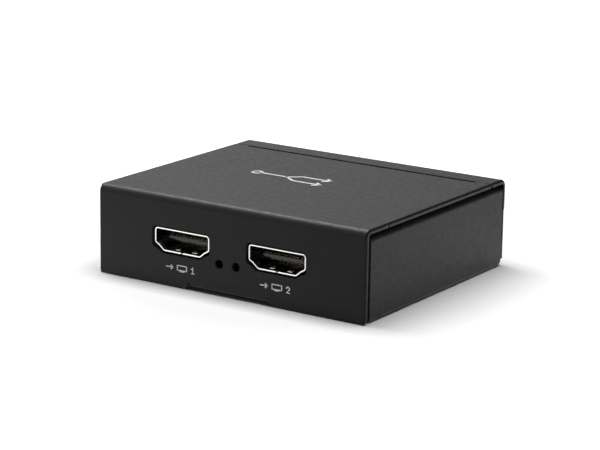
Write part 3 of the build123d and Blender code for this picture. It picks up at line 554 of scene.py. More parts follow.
class FoldPath:
    """The line that a folded sheet follows from the side: straight runs and bends."""

    def __init__(self, start, heading, runs):
        """runs holds (length,) for a straight run and (radius, turn) for a bend to the left."""
        self.pieces = []
        station = 0.0
        here = Vector(start)
        angle = math.radians(heading)
        for run in runs:
            turn = math.radians(run[1]) if len(run) == 2 else 0.0
            extent = run[0] * abs(turn) if turn else run[0]
            self.pieces.append((station, extent, here.copy(), angle, turn))
            here = self.locate(self.pieces[-1], extent)[0]
            angle += turn
            station += extent
        self.length = station

    @staticmethod
    def locate(piece, reach):
        """The point and the heading at a reach along one piece."""
        _, extent, start, angle, turn = piece
        if not turn:
            return start + Vector((math.cos(angle), math.sin(angle))) * reach, angle
        radius = extent / turn
        now = angle + turn * reach / extent
        shift = Vector((math.sin(now) - math.sin(angle), math.cos(angle) - math.cos(now)))
        return start + shift * radius, now

    def at(self, station, left):
        """The point at a station, moved to the left of the line."""
        piece = self.pieces[0]
        for candidate in self.pieces:
            if station >= candidate[0]:
                piece = candidate
        point, angle = self.locate(piece, station - piece[0])
        return point + Vector((-math.sin(angle), math.cos(angle))) * left

    def creases(self, steps):
        """Stations at which the sheet needs a line of vertices, with steps in a quarter turn."""
        stations = []
        for start, extent, _, _, turn in self.pieces:
            if turn:
                count = max(2, round(steps * abs(turn) / QUARTER))
                stations += [start + extent * n / count for n in range(count + 1)]
        return stations


def path_through(corners, heading):
    """A fold path from one end of a line to the other, rounded at corners (x, y, radius)."""
    runs = []
    spent = 0.0
    for number in range(1, len(corners)):
        before = Vector(corners[number - 1][:2])
        here = Vector(corners[number][:2])
        ahead = here - before
        radius = corners[number][2]
        turn = tangent = 0.0
        if number < len(corners) - 1:
            after = Vector(corners[number + 1][:2]) - here
            turn = math.atan2(ahead.x * after.y - ahead.y * after.x, ahead.dot(after))
            tangent = radius * math.tan(abs(turn) / 2)
        runs.append((ahead.length - spent - tangent,))
        if tangent:
            runs.append((radius, math.degrees(turn)))
        spent = tangent
    return FoldPath(corners[0][:2], heading, runs)


def rounded_loop(corners, steps=6):
    """A closed loop of points through corners (x, y, radius), rounded where there is a radius."""
    loop = []
    for number, (x, y, radius) in enumerate(corners):
        here = Vector((x, y))
        if not radius:
            loop.append(here)
            continue
        back = (Vector(corners[number - 1][:2]) - here).normalized()
        ahead = (Vector(corners[(number + 1) % len(corners)][:2]) - here).normalized()
        half = back.angle(ahead) / 2
        centre = here + (back + ahead).normalized() * (radius / math.sin(half))
        reach = radius / math.tan(half)
        first = here + back * reach - centre
        last = here + ahead * reach - centre
        turn = math.atan2(first.x * last.y - first.y * last.x, first.dot(last))
        count = max(2, round(steps * abs(turn) / QUARTER))
        for step in range(count + 1):
            loop.append(centre + Matrix.Rotation(turn * step / count, 2) @ first)
    return loop


def circle_loop(x, y, radius, steps=40):
    """A round hole's loop, with the material round it on its left."""
    return [Vector((x + radius * math.cos(a), y - radius * math.sin(a)))
            for a in (2 * math.pi * n / steps for n in range(steps))]


def disc_loop(radius):
    """A disc's loop round the middle, with its material on the left."""
    return circle_loop(0, 0, radius)[::-1]


def inset(loop, distances):
    """The loop moved to its left, by one distance or by one for each point."""
    if not hasattr(distances, "__len__"):
        distances = [distances] * len(loop)
    moved = []
    for number, (here, distance) in enumerate(zip(loop, distances)):
        a = (here - loop[number - 1]).normalized()
        b = (loop[(number + 1) % len(loop)] - here).normalized()
        left = Vector((-a.y - b.y, a.x + b.x))
        moved.append(here + left * (distance / max(0.2, 1 + a.dot(b))))
    return moved


def crossed(loop, axis, values, low, high):
    """The loop with a point added wherever it crosses one of the values on an axis, between
    two limits on the other axis."""
    result = []
    for here, after in zip(loop, loop[1:] + loop[:1]):
        result.append(here)
        span = after[axis] - here[axis]
        if abs(span) < SAME_PLACE:
            continue
        close = SAME_PLACE / abs(span)
        shares = sorted((value - here[axis]) / span for value in set(values))
        added = [here.lerp(after, s) for s in shares if close < s < 1 - close]
        result += [point for point in added if low <= point[1 - axis] <= high]
    return result


def is_inside(loops, point):
    """Whether a point is in the outline and in none of the holes."""
    crossings = 0
    for loop in loops:
        for a, b in zip(loop, loop[1:] + loop[:1]):
            if (a.y > point.y) != (b.y > point.y):
                x = a.x + (point.y - a.y) / (b.y - a.y) * (b.x - a.x)
                crossings += x > point.x
    return crossings % 2 == 1


def crease_pairs(loops, axis, values, low, high):
    """Pairs of vertex numbers that a crease joins through the material."""
    points = [point for loop in loops for point in loop]
    pairs = []
    for value in values:
        on_line = [n for n, p in enumerate(points)
                   if abs(p[axis] - value) < ON_CREASE and low <= p[1 - axis] <= high]
        on_line.sort(key=lambda n: points[n][1 - axis])
        for a, b in zip(on_line, on_line[1:]):
            apart = points[b][1 - axis] - points[a][1 - axis] > ON_CREASE
            if apart and is_inside(loops, (points[a] + points[b]) / 2):
                pairs.append((a, b))
    return pairs


def cap_faces(loops, pairs):
    """Triangles over the outline, round the holes and along the creases."""
    points = [point for loop in loops for point in loop]
    edges = list(pairs)
    first = 0
    for loop in loops:
        count = len(loop)
        edges += [(first + n, first + (n + 1) % count) for n in range(count)]
        first += count
    found, _, faces, sources, _, _ = delaunay_2d_cdt(points, edges, [], 0, CAP_TOLERANCE)
    kept = []
    for face in faces:
        for corner in face:
            if not sources[corner]:
                raise RuntimeError(f"two lines of the sheet cross at {found[corner]}")
        corners = [sources[corner][0] for corner in face]
        middle = sum((points[n] for n in corners), Vector((0, 0))) / len(corners)
        if is_inside(loops, middle):
            kept.append(corners)
    return kept


def edge_rows(thickness, outer, inner, steps=4):
    """(inset, depth) pairs over a cut edge, rounded at the outer and at the inner face."""
    angles = [QUARTER * n / steps for n in range(steps + 1)]
    near = [(outer * (1 - math.sin(a)), outer * (1 - math.cos(a))) for a in angles]
    far = [(inner * (1 - math.sin(a)), thickness - inner * (1 - math.cos(a)))
           for a in reversed(angles)]
    return near + (far if outer + inner < thickness - SAME_PLACE else far[1:])


def sheet_mesh(name, loops, thickness, rounding, place, creases=(), flares=None):
    """A closed sheet: loops[0] is its outline and the rest are holes, each with the material
    on its left. rounding is one size, or a function that turns a loop's number and a point into
    the roundings at the outer and at the inner face. place turns (u, v, depth) into a point.
    creases holds (axis, values, low, high). flares gives a loop's number a pair of insets, at
    the outer and at the inner face."""
    # The rows of the edge that are nearest to either face aren't marked as cut edge.
    fresh_rows = 3
    for crease in creases:
        loops = [crossed(loop, *crease) for loop in loops]
    pairs = [pair for crease in creases for pair in crease_pairs(loops, *crease)]
    made = bmesh.new()
    cut_edge_tone = made.verts.layers.float.new("edge")
    caps = [([], []), ([], [])]
    for number, loop in enumerate(loops):
        rows = list(zip(*[
            edge_rows(thickness, *(rounding(number, point) if callable(rounding)
                                   else (rounding, rounding))) for point in loop]))
        outer, inner = (flares or {}).get(number, (0.0, 0.0))
        rings = []
        for row, steps in enumerate(rows):
            moved = inset(loop, [reach + outer + (inner - outer) * depth / thickness
                                 for reach, depth in steps])
            ring = [made.verts.new(place(p.x, p.y, depth)) for p, (_, depth) in zip(moved, steps)]
            for vert in ring:
                vert[cut_edge_tone] = float(fresh_rows <= row < len(rows) - fresh_rows)
            rings.append(ring)
            if row in (0, len(rows) - 1):
                flats, verts = caps[min(row, 1)]
                flats.append(moved)
                verts += ring
        for ring, after in zip(rings, rings[1:]):
            for n in range(len(loop)):
                made.faces.new((ring[n - 1], ring[n], after[n], after[n - 1]))
    for flats, verts in caps:
        for corners in cap_faces(flats, pairs):
            made.faces.new([verts[n] for n in corners])
    return finished_mesh(name, made)


def turned_mesh(name, outline, axis_point, direction, steps):
    """A closed turned solid from (radius, height) points, marked as cut edge at those with a third 1.
    """
    made = bmesh.new()
    cut_edge_tone = made.verts.layers.float.new("edge")
    along = Vector(direction).normalized()
    turn = along.to_track_quat("Z", "Y").to_matrix()
    rings = []
    for point in outline:
        radius, height = point[:2]
        count = 1 if radius == 0 else steps
        ring = []
        for n in range(count):
            a = 2 * math.pi * n / steps
            spot = Vector((radius * math.cos(a), radius * math.sin(a), height))
            vert = made.verts.new(Vector(axis_point) + turn @ spot)
            vert[cut_edge_tone] = point[2] if len(point) == 3 else 0.0
            ring.append(vert)
        rings.append(ring)
    closed = outline[0][0] != 0 and outline[-1][0] != 0
    around = zip(rings, rings[1:] + rings[:1]) if closed else zip(rings, rings[1:])
    for ring, after in around:
        for n in range(steps):
            corners = ((ring, n - 1), (ring, n), (after, n), (after, n - 1))
            unique = list(dict.fromkeys(row[k % len(row)] for row, k in corners))
            if len(unique) > 2:
                made.faces.new(unique)
    return finished_mesh(name, made)


def finished_mesh(name, made):
    """Turn the faces outwards, shade them smoothly and hand over the mesh."""
    bmesh.ops.recalc_face_normals(made, faces=made.faces)
    for face in made.faces:
        face.smooth = True
    mesh = bpy.data.meshes.new(name)
    made.to_mesh(mesh)
    made.free()
    return mesh


def joined_mesh(name, *meshes):
    """Several meshes as one."""
    made = bmesh.new()
    for mesh in meshes:
        made.from_mesh(mesh)
        bpy.data.meshes.remove(mesh)
    mesh = bpy.data.meshes.new(name)
    made.to_mesh(mesh)
    made.free()
    return mesh


def keep_flats_flat(mesh):
    """Weigh each vertex's normal by the areas round it, so that wide faces stay flat."""
    normals = [Vector() for _ in mesh.vertices]
    for polygon in mesh.polygons:
        push = polygon.normal * (polygon.area / MM ** 2)
        for number in polygon.vertices:
            normals[number] += push
    mesh.normals_split_custom_set_from_vertices([normal.normalized() for normal in normals])


def add_piece(name, mesh, material, nodes=()):
    """Put a finished mesh in the scene as a piece, which may stand for CAD nodes."""
    mesh.materials.clear()
    mesh.materials.append(material)
    keep_flats_flat(mesh)
    piece = bpy.data.objects.new(name, mesh)
    bpy.context.scene.collection.objects.link(piece)
    if nodes:
        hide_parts(*nodes)
    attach(piece, BODY)


def move_mesh(mesh, matrix):
    """Move or turn a mesh."""
    mesh.transform(matrix)
    return mesh


def run_nodes(name, mesh, tree, values, material):
    """Run a Geometry Nodes tree on a mesh and return the plain mesh that it makes."""
    holder = bpy.data.objects.new(name, mesh)
    bpy.context.scene.collection.objects.link(holder)
    modifier = holder.modifiers.new(name, "NODES")
    modifier.node_group = tree
    given = {**values, "Material": material}
    for item in tree.interface.items_tree:
        if item.item_type == "SOCKET" and item.in_out == "INPUT" and item.name in given:
            modifier[item.identifier] = given[item.name]
    bpy.context.view_layer.update()
    evaluated = holder.evaluated_get(bpy.context.evaluated_depsgraph_get())
    made = bpy.data.meshes.new_from_object(evaluated)
    holder.modifiers.remove(modifier)
    bpy.data.objects.remove(holder)
    made.name = name
    return made


def new_copies_tree(name, inputs):
    """An empty Geometry Nodes tree with named inputs, and its input node."""
    group = bpy.data.node_groups.new(name, "GeometryNodeTree")
    group.interface.new_socket("Geometry", in_out="OUTPUT", socket_type="NodeSocketGeometry")
    group.interface.new_socket("Geometry", in_out="INPUT", socket_type="NodeSocketGeometry")
    for socket_name, kind in inputs:
        group.interface.new_socket(socket_name, in_out="INPUT", socket_type=kind)
    group.interface.new_socket("Material", in_out="INPUT", socket_type="NodeSocketMaterial")
    tree = NodeTree(group)
    entry = group.nodes.new("NodeGroupInput")
    wires = {socket.name: Wire(tree, socket) for socket in entry.outputs if socket.name}
    return tree, wires


def end_copies_tree(tree, wires, instances):
    """Make the copies real, give them their material and end the tree."""
    real = tree.node("GeometryNodeRealizeInstances", None, {0: instances})
    painted = tree.node("GeometryNodeSetMaterial", None, {
        "Geometry": real, "Material": wires["Material"]})
    tree.node("NodeGroupOutput", None, {0: painted})
    return tree.tree


def row_of_copies():
    """A tree that repeats a mesh along a line."""
    tree, wires = new_copies_tree("Row of copies", [
        ("Count", "NodeSocketInt"), ("Start", "NodeSocketVector"), ("Step", "NodeSocketVector")])
    line = tree.node("GeometryNodeMeshLine", {"mode": "OFFSET", "count_mode": "TOTAL"}, {
        "Count": wires["Count"], "Start Location": wires["Start"], "Offset": wires["Step"]})
    copies = tree.node("GeometryNodeInstanceOnPoints", None, {
        "Points": line, "Instance": wires["Geometry"]})
    return end_copies_tree(tree, wires, copies)


def four_copies():
    """A tree that puts a mesh at the corners of a rectangle, each turned by its own amount."""
    tree, wires = new_copies_tree("Copies at four corners", [
        ("Width", "NodeSocketFloat"), ("Depth", "NodeSocketFloat"), ("Turn", "NodeSocketFloat"),
        ("Seed", "NodeSocketInt")])
    grid = tree.node("GeometryNodeMeshGrid", None, {
        "Size X": wires["Width"], "Size Y": wires["Depth"], "Vertices X": 2, "Vertices Y": 2})
    turn = tree.node("FunctionNodeRandomValue", {"data_type": "FLOAT"}, {
        2: 0.0, 3: wires["Turn"], "Seed": wires["Seed"]}, 1)
    rotation = tree.node("ShaderNodeCombineXYZ", None, {"Z": turn})
    copies = tree.node("GeometryNodeInstanceOnPoints", None, {
        "Points": grid, "Instance": wires["Geometry"], "Rotation": rotation})
    return end_copies_tree(tree, wires, copies)


def mouth_corners(s, drop=0.0):
    """The right half of a socket's mouth from the top middle to the bottom middle."""
    half = s.width / 2
    top = s.height / 2
    shoulder = top - s.side
    return [
        (0.0, top, 0.0),
        (half, top, MOUTH_TOP_CORNER),
        (half, shoulder - drop, MOUTH_SHOULDER_CORNER),
        (half - s.knee_inset, shoulder - s.knee_drop - drop / 2, MOUTH_FOOT_CORNER),
        (s.foot / 2, -top, MOUTH_FOOT_CORNER),
        (0.0, -top, 0.0),
    ]


def cutout_loop(s, x, z):
    """The hole for a socket in a wall, with the wall on the loop's left."""
    gap = s.wall + s.clearance
    right = mouth_corners(s, s.shoulder_drop)[:-1]
    whole = right + [(-u, v, radius) for u, v, radius in reversed(right[1:])]
    points = [Vector((u, v)) for u, v, _ in whole]
    corners = []
    for number, (moved, corner) in enumerate(zip(inset(points, gap), whole)):
        before = points[number] - points[number - 1]
        after = points[(number + 1) % len(points)] - points[number]
        turns_out = before.x * after.y < before.y * after.x - STRAIGHT
        corners.append((moved.x + x, moved.y + z, corner[2] + gap if turns_out else 0.0))
    return rounded_loop(corners)


def tab_join(c):
    """Height on a wall at which its screw tab's bend ends."""
    return c.tray_sheet + c.tab_bend


def tab_station(c, reach):
    """Station of a place on a screw tab, from its reach behind the wall's face."""
    return tab_join(c) - c.tab_bend * QUARTER - (reach - c.tab_bend)


def panel_loop(c, right, foot):
    """Outline of a folded panel from its right side, given upwards from its foot."""
    slot = c.tab / 2 + c.tab_slot
    tab_half = c.tab / 2
    side = [
        (tab_half, tab_station(c, c.tab_reach), c.tab_corner),
        (tab_half, tab_join(c), 0.0),
        (slot, tab_join(c), 0.0),
        (slot, foot, 0.0),
    ] + right
    mirrored = [(-x, v, radius) for x, v, radius in reversed(side)]
    return rounded_loop(side + mirrored)


def panel_place(c, mirror):
    """How a folded panel's (x, station, depth) lies in space, for the front or the rear, and
    the creases that it needs."""
    front = -c.depth / 2
    join = tab_join(c)
    wall = FoldPath((front, 0.0), 90, [(c.height - c.bend,), (c.bend, -90), (c.depth,)])
    tab = FoldPath((front, join), -90, [(c.tab_bend, 90), (c.tab_reach,)])
    half = c.width / 2 + c.seam
    tab_half = c.tab / 2 + c.tab_slot / 4

    def place(x, station, depth):
        if station < join - SAME_PLACE and abs(x) < tab_half:
            point = tab.at(join - station, depth + c.skin)
        else:
            point = wall.at(station, -depth - c.skin)
        return Vector((x, point.x * mirror, point.y))

    creases = [(1, wall.creases(c.bend_steps), -half, half),
               (1, [join - s for s in tab.creases(c.bend_steps)], -tab_half, tab_half)]
    return place, creases


def panel_rounding(c, end, end_edge, notch=math.inf):
    """Roundings of a coated panel: wide along its sides, of one size at its end, and fine
    round its holes, in its notch and elsewhere."""
    touch = 0.01 * MM
    margin = 0.1 * MM
    side = c.width / 2 - c.wall_step - touch
    end_half = c.width / 2 - 0.5 * MM

    def sizes(number, point):
        in_notch = notch - margin < point.y < notch + c.notch_width + margin
        wide = number == 0 and abs(point.x) > side and not in_notch
        if point.y > end - touch and abs(point.x) < end_half:
            return end_edge, c.burr_edge
        if wide and point.x < 0 and point.y > c.height:
            return c.left_edge, c.burr_edge
        return c.edge if wide else c.hole_edge, c.burr_edge

    return sizes


def tab_holes(c):
    """The screw holes in a panel's tab."""
    station = tab_station(c, c.screw_from_wall)
    return [circle_loop(side * c.screw_pitch / 2, station, c.screw_thread / 2 + c.screw_gap, 24)
            for side in (-1, 1)]


class SPLITTER_OT_cover(bpy.types.Operator):
    """Fold the front wall, the top and the front screw tab from one coated sheet"""

    bl_idname = "splitter.cover"
    bl_label = "Cover"

    def execute(self, context):
        c = context.scene.splitter_case
        s = context.scene.splitter_sockets
        half = c.width / 2
        bend_end = c.height - c.bend + c.bend * QUARTER
        end = bend_end + c.depth - c.strip - c.seam - c.bend
        ear = end + c.seam - c.seam_touch
        notch = bend_end + c.notch_from_front - c.bend
        by_notch = 0.3 * MM
        right = [
            (c.relief, c.tray_sheet, RELIEF_INNER_CORNER),
            (c.relief + c.relief_slope, 0.0, RELIEF_OUTER_CORNER),
            (half, 0.0, c.corner),
            (half, notch - by_notch, 0.0),
            (half, notch, 0.0),
            (half - c.notch_depth, notch, 0.0),
            (half - c.notch_depth, notch + c.notch_width, 0.0),
            (half, notch + c.notch_width, 0.0),
            (half, notch + c.notch_width + by_notch, 0.0),
            (half, ear, TOP_CORNER),
            (half - c.seam_end, ear, EAR_CORNER),
            (half - c.seam_end, end, SEAM_CORNER),
        ]
        place, creases = panel_place(c, 1)
        loops = [panel_loop(c, right, c.tray_sheet)] + tab_holes(c)
        for side in (-1, 1):
            loops.append(cutout_loop(s, side * s.pitch / 2, s.centre))
            loops.append(circle_loop(side * c.lamp_pitch / 2, c.lamp_height, c.lamp_hole / 2))
        mesh = sheet_mesh("folded_cover", loops, c.sheet - c.skin,
                          panel_rounding(c, end, c.seam_edge, notch), place, creases)
        coat = powder_coat("powder_coat", look=context.scene.splitter_coat)
        add_piece("folded_cover", mesh, coat, ["cover_shell"])
        return {"FINISHED"}


class SPLITTER_OT_rear_panel(bpy.types.Operator):
    """Fold the rear wall, its strip of the top and the rear screw tab from one coated sheet"""

    bl_idname = "splitter.rear_panel"
    bl_label = "Rear panel"

    def execute(self, context):
        c = context.scene.splitter_case
        s = context.scene.splitter_sockets
        j = context.scene.splitter_jack
        half = c.width / 2
        low = half - c.wall_step
        shoulder = c.height - c.strip_drop
        foot = c.tray_sheet + c.foot_gap
        end = c.height - c.bend + c.bend * QUARTER + c.strip - c.bend
        right = [
            (low - c.corner_run, foot, 0.0),
            (low - c.corner_run, c.corner_lift, 0.0),
            (low, c.corner_lift, TOP_CORNER),
            (low, shoulder, 0.0),
            (half, shoulder, 0.0),
            (half, end, TOP_CORNER),
        ]
        place, creases = panel_place(c, -1)
        loops = [panel_loop(c, right, foot)] + tab_holes(c)
        loops.append(cutout_loop(s, s.input_x, s.centre))
        loops.append(circle_loop(j.x, s.board_top + j.axis, j.hole / 2, 64))
        fine_edge = c.burr_edge * 0.4
        mesh = sheet_mesh("folded_rear_panel", loops, c.sheet - c.skin,
                          panel_rounding(c, end, fine_edge), place, creases)
        coat = powder_coat("powder_coat", look=context.scene.splitter_coat)
        add_piece("folded_rear_panel", mesh, coat, ["rear_panel"])
        return {"FINISHED"}


class SPLITTER_OT_tray(bpy.types.Operator):
    """Fold the bottom, the side walls and the upper flanges from one coated sheet"""

    bl_idname = "splitter.tray"
    bl_label = "Tray"

    def execute(self, context):
        c = context.scene.splitter_case
        wall_half = c.width / 2 - c.tray_inset
        flat = wall_half - c.tray_bend
        wall = c.height - c.sheet - c.tray_bend - c.flange_bend
        path = FoldPath((0.0, 0.0), 0, [
            (flat,), (c.tray_bend, 90), (wall,), (c.flange_bend, 90),
            (c.flange - c.flange_bend,)])
        bend = c.tray_bend * QUARTER
        front = -c.depth / 2 + c.tray_setback
        rear = c.depth / 2 - c.sheet - c.tray_gap
        stations = path.creases(c.bend_steps)
        chamfer = []
        for n in range(c.bend_steps + 1):
            angle = QUARTER * n / c.bend_steps
            lift = c.tray_bend * (1 - math.cos(angle))
            chamfer.append((flat + c.tray_bend * angle, rear - c.chamfer + lift, 0.0))
        cut = flat + bend + wall + c.flange_bend * math.asin(1 - c.tray_sheet / c.flange_bend)
        right = [
            (path.length, front, TRAY_CORNER),
            (path.length, rear - c.flange_cut, TRAY_CORNER),
            (cut, rear - c.flange_cut, 0.0),
            (cut, rear, 0.0),
        ] + chamfer[::-1] + [(flat, c.depth / 2 - c.tongue_gap, TRAY_CORNER)]
        left = [(-u, v, radius) for u, v, radius in reversed(right)]
        loops = [rounded_loop(right + left)]
        flares = {}
        quarters = [(side, end) for side in (-1, 1) for end in (-1, 1)]
        for side, end in quarters:
            loops.append(circle_loop(side * c.standoff_x, end * c.standoff_y,
                                     c.standoff_foot / 2 + c.standoff_gap, 32))
        for side, end in quarters:
            flares[len(loops)] = (0.0, -(c.screw_head - c.screw_thread) / 2)
            loops.append(circle_loop(side * c.screw_pitch / 2,
                                     end * (c.depth / 2 - c.screw_from_wall),
                                     c.screw_head / 2 + c.screw_gap, 32))

        def place(u, v, depth):
            point = path.at(abs(u), depth)
            return Vector((math.copysign(point.x, u), v, point.y))

        both = stations + [-station for station in stations]
        mesh = sheet_mesh("folded_tray", loops, c.tray_sheet, TRAY_EDGE, place,
                          [(0, both, -c.depth, c.depth)], flares)
        coat = powder_coat("powder_coat", look=context.scene.splitter_coat)
        add_piece("folded_tray", mesh, coat, ["base_tray"])
        return {"FINISHED"}


def socket_places(context):
    """Each socket's name and the matrix that takes it from its own frame to its wall."""
    s = context.scene.splitter_sockets
    wall = context.scene.splitter_case.depth / 2
    turned = Matrix.Rotation(math.pi, 4, "Z")
    return [
        ("output_1", Matrix.Translation((-s.pitch / 2, s.recess - wall, s.centre))),
        ("output_2", Matrix.Translation((s.pitch / 2, s.recess - wall, s.centre))),
        ("input", Matrix.Translation((s.input_x, wall - s.recess, s.centre)) @ turned),
    ]


def shell_mesh(s):
    """A socket's folded shell with its seam, spring fingers and legs."""
    path = path_through(mouth_corners(s), 0)
    window_end = s.window_front + s.window_length
    tip = s.window_front + s.tip_gap
    crest = tip + (window_end - tip) * 0.25
    finger_middles = (s.finger_spacing / 2, path.length - s.finger_spacing / 2)
    round_finger = s.finger / 2 + 0.05 * MM
    before_tip = tip - 0.1 * MM
    crest_fullness = 1.5

    def lift(u, v):
        """How far a place on a finger stands up: from 0 at its root and tip to its crest."""
        middle = min(finger_middles, key=lambda m: abs(m - abs(u)))
        if abs(abs(u) - middle) > round_finger or not before_tip < v < window_end:
            return 0.0
        rise = (window_end - v) / (window_end - crest) if v > crest else (v - tip) / (crest - tip)
        return s.lift * math.sin(QUARTER * max(0.0, min(1.0, rise))) ** crest_fullness

    def place(u, v, depth):
        point = path.at(abs(u), depth - lift(u, v))
        return Vector((math.copysign(point.x, u), v, point.y))

    end = path.length - s.seam / 2
    by_seam = end - 0.3 * MM
    loops = [[Vector(p) for p in ((-end, 0), (-by_seam, 0), (by_seam, 0), (end, 0),
                                  (end, s.shell), (-end, s.shell))]]
    wide = s.window / 2
    narrow = s.finger / 2
    for u in (side * middle for middle in finger_middles for side in (-1, 1)):
        loops.append([Vector(p) for p in (
            (u - wide, window_end), (u - narrow, window_end), (u - narrow, tip),
            (u + narrow, tip), (u + narrow, window_end), (u + wide, window_end),
            (u + wide, s.window_front), (u - wide, s.window_front))])
    bends = path.creases(steps=8)
    finger_steps = 12
    rises = [tip + (window_end - tip) * n / finger_steps for n in range(1, finger_steps)]
    creases = [(0, bends + [-b for b in bends], -s.shell, 2 * s.shell)]
    reach = s.finger * 0.51
    for u in (side * middle for middle in finger_middles for side in (-1, 1)):
        creases.append((1, rises, u - reach, u + reach))
    rim = 0.11 * MM
    shell = sheet_mesh("shell", loops, s.wall, rim, place, creases)
    return joined_mesh("shell", shell, *leg_meshes(s))


def leg_meshes(s):
    """The four legs of a socket's shell, which go down into the board."""
    low = s.board_top - s.centre - 2.4 * MM
    half = s.leg / 2
    thick = 0.24 * MM
    point = 0.1 * MM
    legs = []
    for side in (-1, 1):
        x = side * (s.width / 2 + s.wall / 2)
        for station in (4.2 * MM, 9.2 * MM):
            leg = rounded_loop([
                (station - half, 0.0, 0.0), (station - half, low + half, 0.0),
                (station - half / 2, low, point), (station + half / 2, low, point),
                (station + half, low + half, 0.0), (station + half, 0.0, 0.0)])
            legs.append(sheet_mesh("leg", [leg], thick, 0.05 * MM,
                                   lambda u, v, d, x=x: Vector((x - thick / 2 + d, u, v))))
    return legs


def insulator_mesh(s):
    """A socket's moulded tongue and the blocks behind it."""
    half = s.tongue / 2
    root = s.shell - s.block
    tongue_end = root + 0.2 * MM
    face = s.tongue_thickness / 2
    nose = s.tongue_nose * 1.1
    tongue_loop = rounded_loop([
        (-half, s.tongue_from_mouth, nose), (half, s.tongue_from_mouth, nose),
        (half, tongue_end, 0), (-half, tongue_end, 0)])
    tongue = sheet_mesh("tongue", [tongue_loop], s.tongue_thickness, s.tongue_nose,
                        lambda u, v, d: Vector((u, v, face - d)))
    block_gap = 0.05 * MM
    block_edge = 0.1 * MM
    right = rounded_loop(mouth_corners(s), steps=5)
    whole = right + [Vector((-p.x, p.y)) for p in reversed(right[1:-1])]
    plug = sheet_mesh("plug", [inset(whole[::-1], block_gap)], s.block, block_edge,
                      lambda u, v, d: Vector((u, root + d, v)))
    wide = s.foot / 2 + s.contact_pitch
    floor = s.board_top - s.centre
    top = 1.5 * MM
    corner = 0.3 * MM
    back_loop = rounded_loop([
        (-wide, floor, 0), (wide, floor, 0), (wide, top, corner), (-wide, top, corner)])
    back = sheet_mesh("back", [back_loop], s.back, block_edge,
                      lambda u, v, d: Vector((u, s.shell + d, v)))
    return joined_mesh("insulator", tongue, plug, back)


def contact_mesh(s, upper):
    """One contact: along the tongue, down behind the moulding and out on the board."""
    tip = s.tongue_from_mouth + 0.5 * MM
    thick = s.contact_thickness
    top = s.contact_face if upper else thick - s.contact_face
    board = s.board_top - s.centre
    back = s.shell + s.back
    end = back + thick + s.contact_foot
    bend = 0.12 * MM
    tip_corner = 0.05 * MM
    edge = 0.04 * MM
    loop = rounded_loop([
        (tip, top - thick, tip_corner), (back, top - thick, 0.0),
        (back, board, bend + thick), (end, board, 0.0),
        (end, board + thick, 0.0), (back + thick, board + thick, bend),
        (back + thick, top, bend + thick), (tip, top, 2 * tip_corner)], steps=3)
    half = s.contact / 2
    return sheet_mesh("contact", [loop], s.contact, edge,
                      lambda u, v, d: Vector((half - d, u, v)))


class SPLITTER_OT_sockets(bpy.types.Operator):
    """Build the two output sockets and the input socket"""

    bl_idname = "splitter.sockets"
    bl_label = "Video sockets"

    def execute(self, context):
        s = context.scene.splitter_sockets
        nickel = plated_metal("bright_nickel", tone=(0.79, 0.775, 0.75), roughness=0.2,
                              grain=0.16 * MM)
        moulding = moulded_plastic("socket_moulding", tone=(0.003, 0.003, 0.0032),
                                   roughness=0.26, grain=0.1 * MM)
        gold = plated_metal("contact_plating", tone=(0.86, 0.64, 0.27), roughness=0.2,
                            grain=0.1 * MM)
        tree = row_of_copies()
        pitch = s.contact_pitch
        for name, matrix in socket_places(context):
            shell = move_mesh(shell_mesh(s), matrix)
            add_piece(name + "_shell", shell, nickel, [name + "_socket_shell"])
            insulator = move_mesh(insulator_mesh(s), matrix)
            add_piece(name + "_moulding", insulator, moulding,
                      [name + "_socket_insulator"])
            rows = []
            for upper, count in ((True, 10), (False, 9)):
                first = -(count - 1) * pitch
                rows.append(run_nodes("contact_row", contact_mesh(s, upper), tree, {
                    "Count": count, "Start": (first, 0, 0), "Step": (2 * pitch, 0, 0)}, gold))
            contacts = move_mesh(joined_mesh("contacts", *rows), matrix)
            add_piece(name + "_contacts", contacts, gold,
                      [name + "_socket_contacts"])
        return {"FINISHED"}


def jack_place(context):
    """The matrix from the power jack's own frame, mouth towards -Y, to the rear wall."""
    c = context.scene.splitter_case
    s = context.scene.splitter_sockets
    j = context.scene.splitter_jack
    face = c.depth / 2 - c.sheet - j.wall_gap
    return Matrix.Translation((j.x, face, s.board_top)) @ Matrix.Rotation(math.pi, 4, "Z")


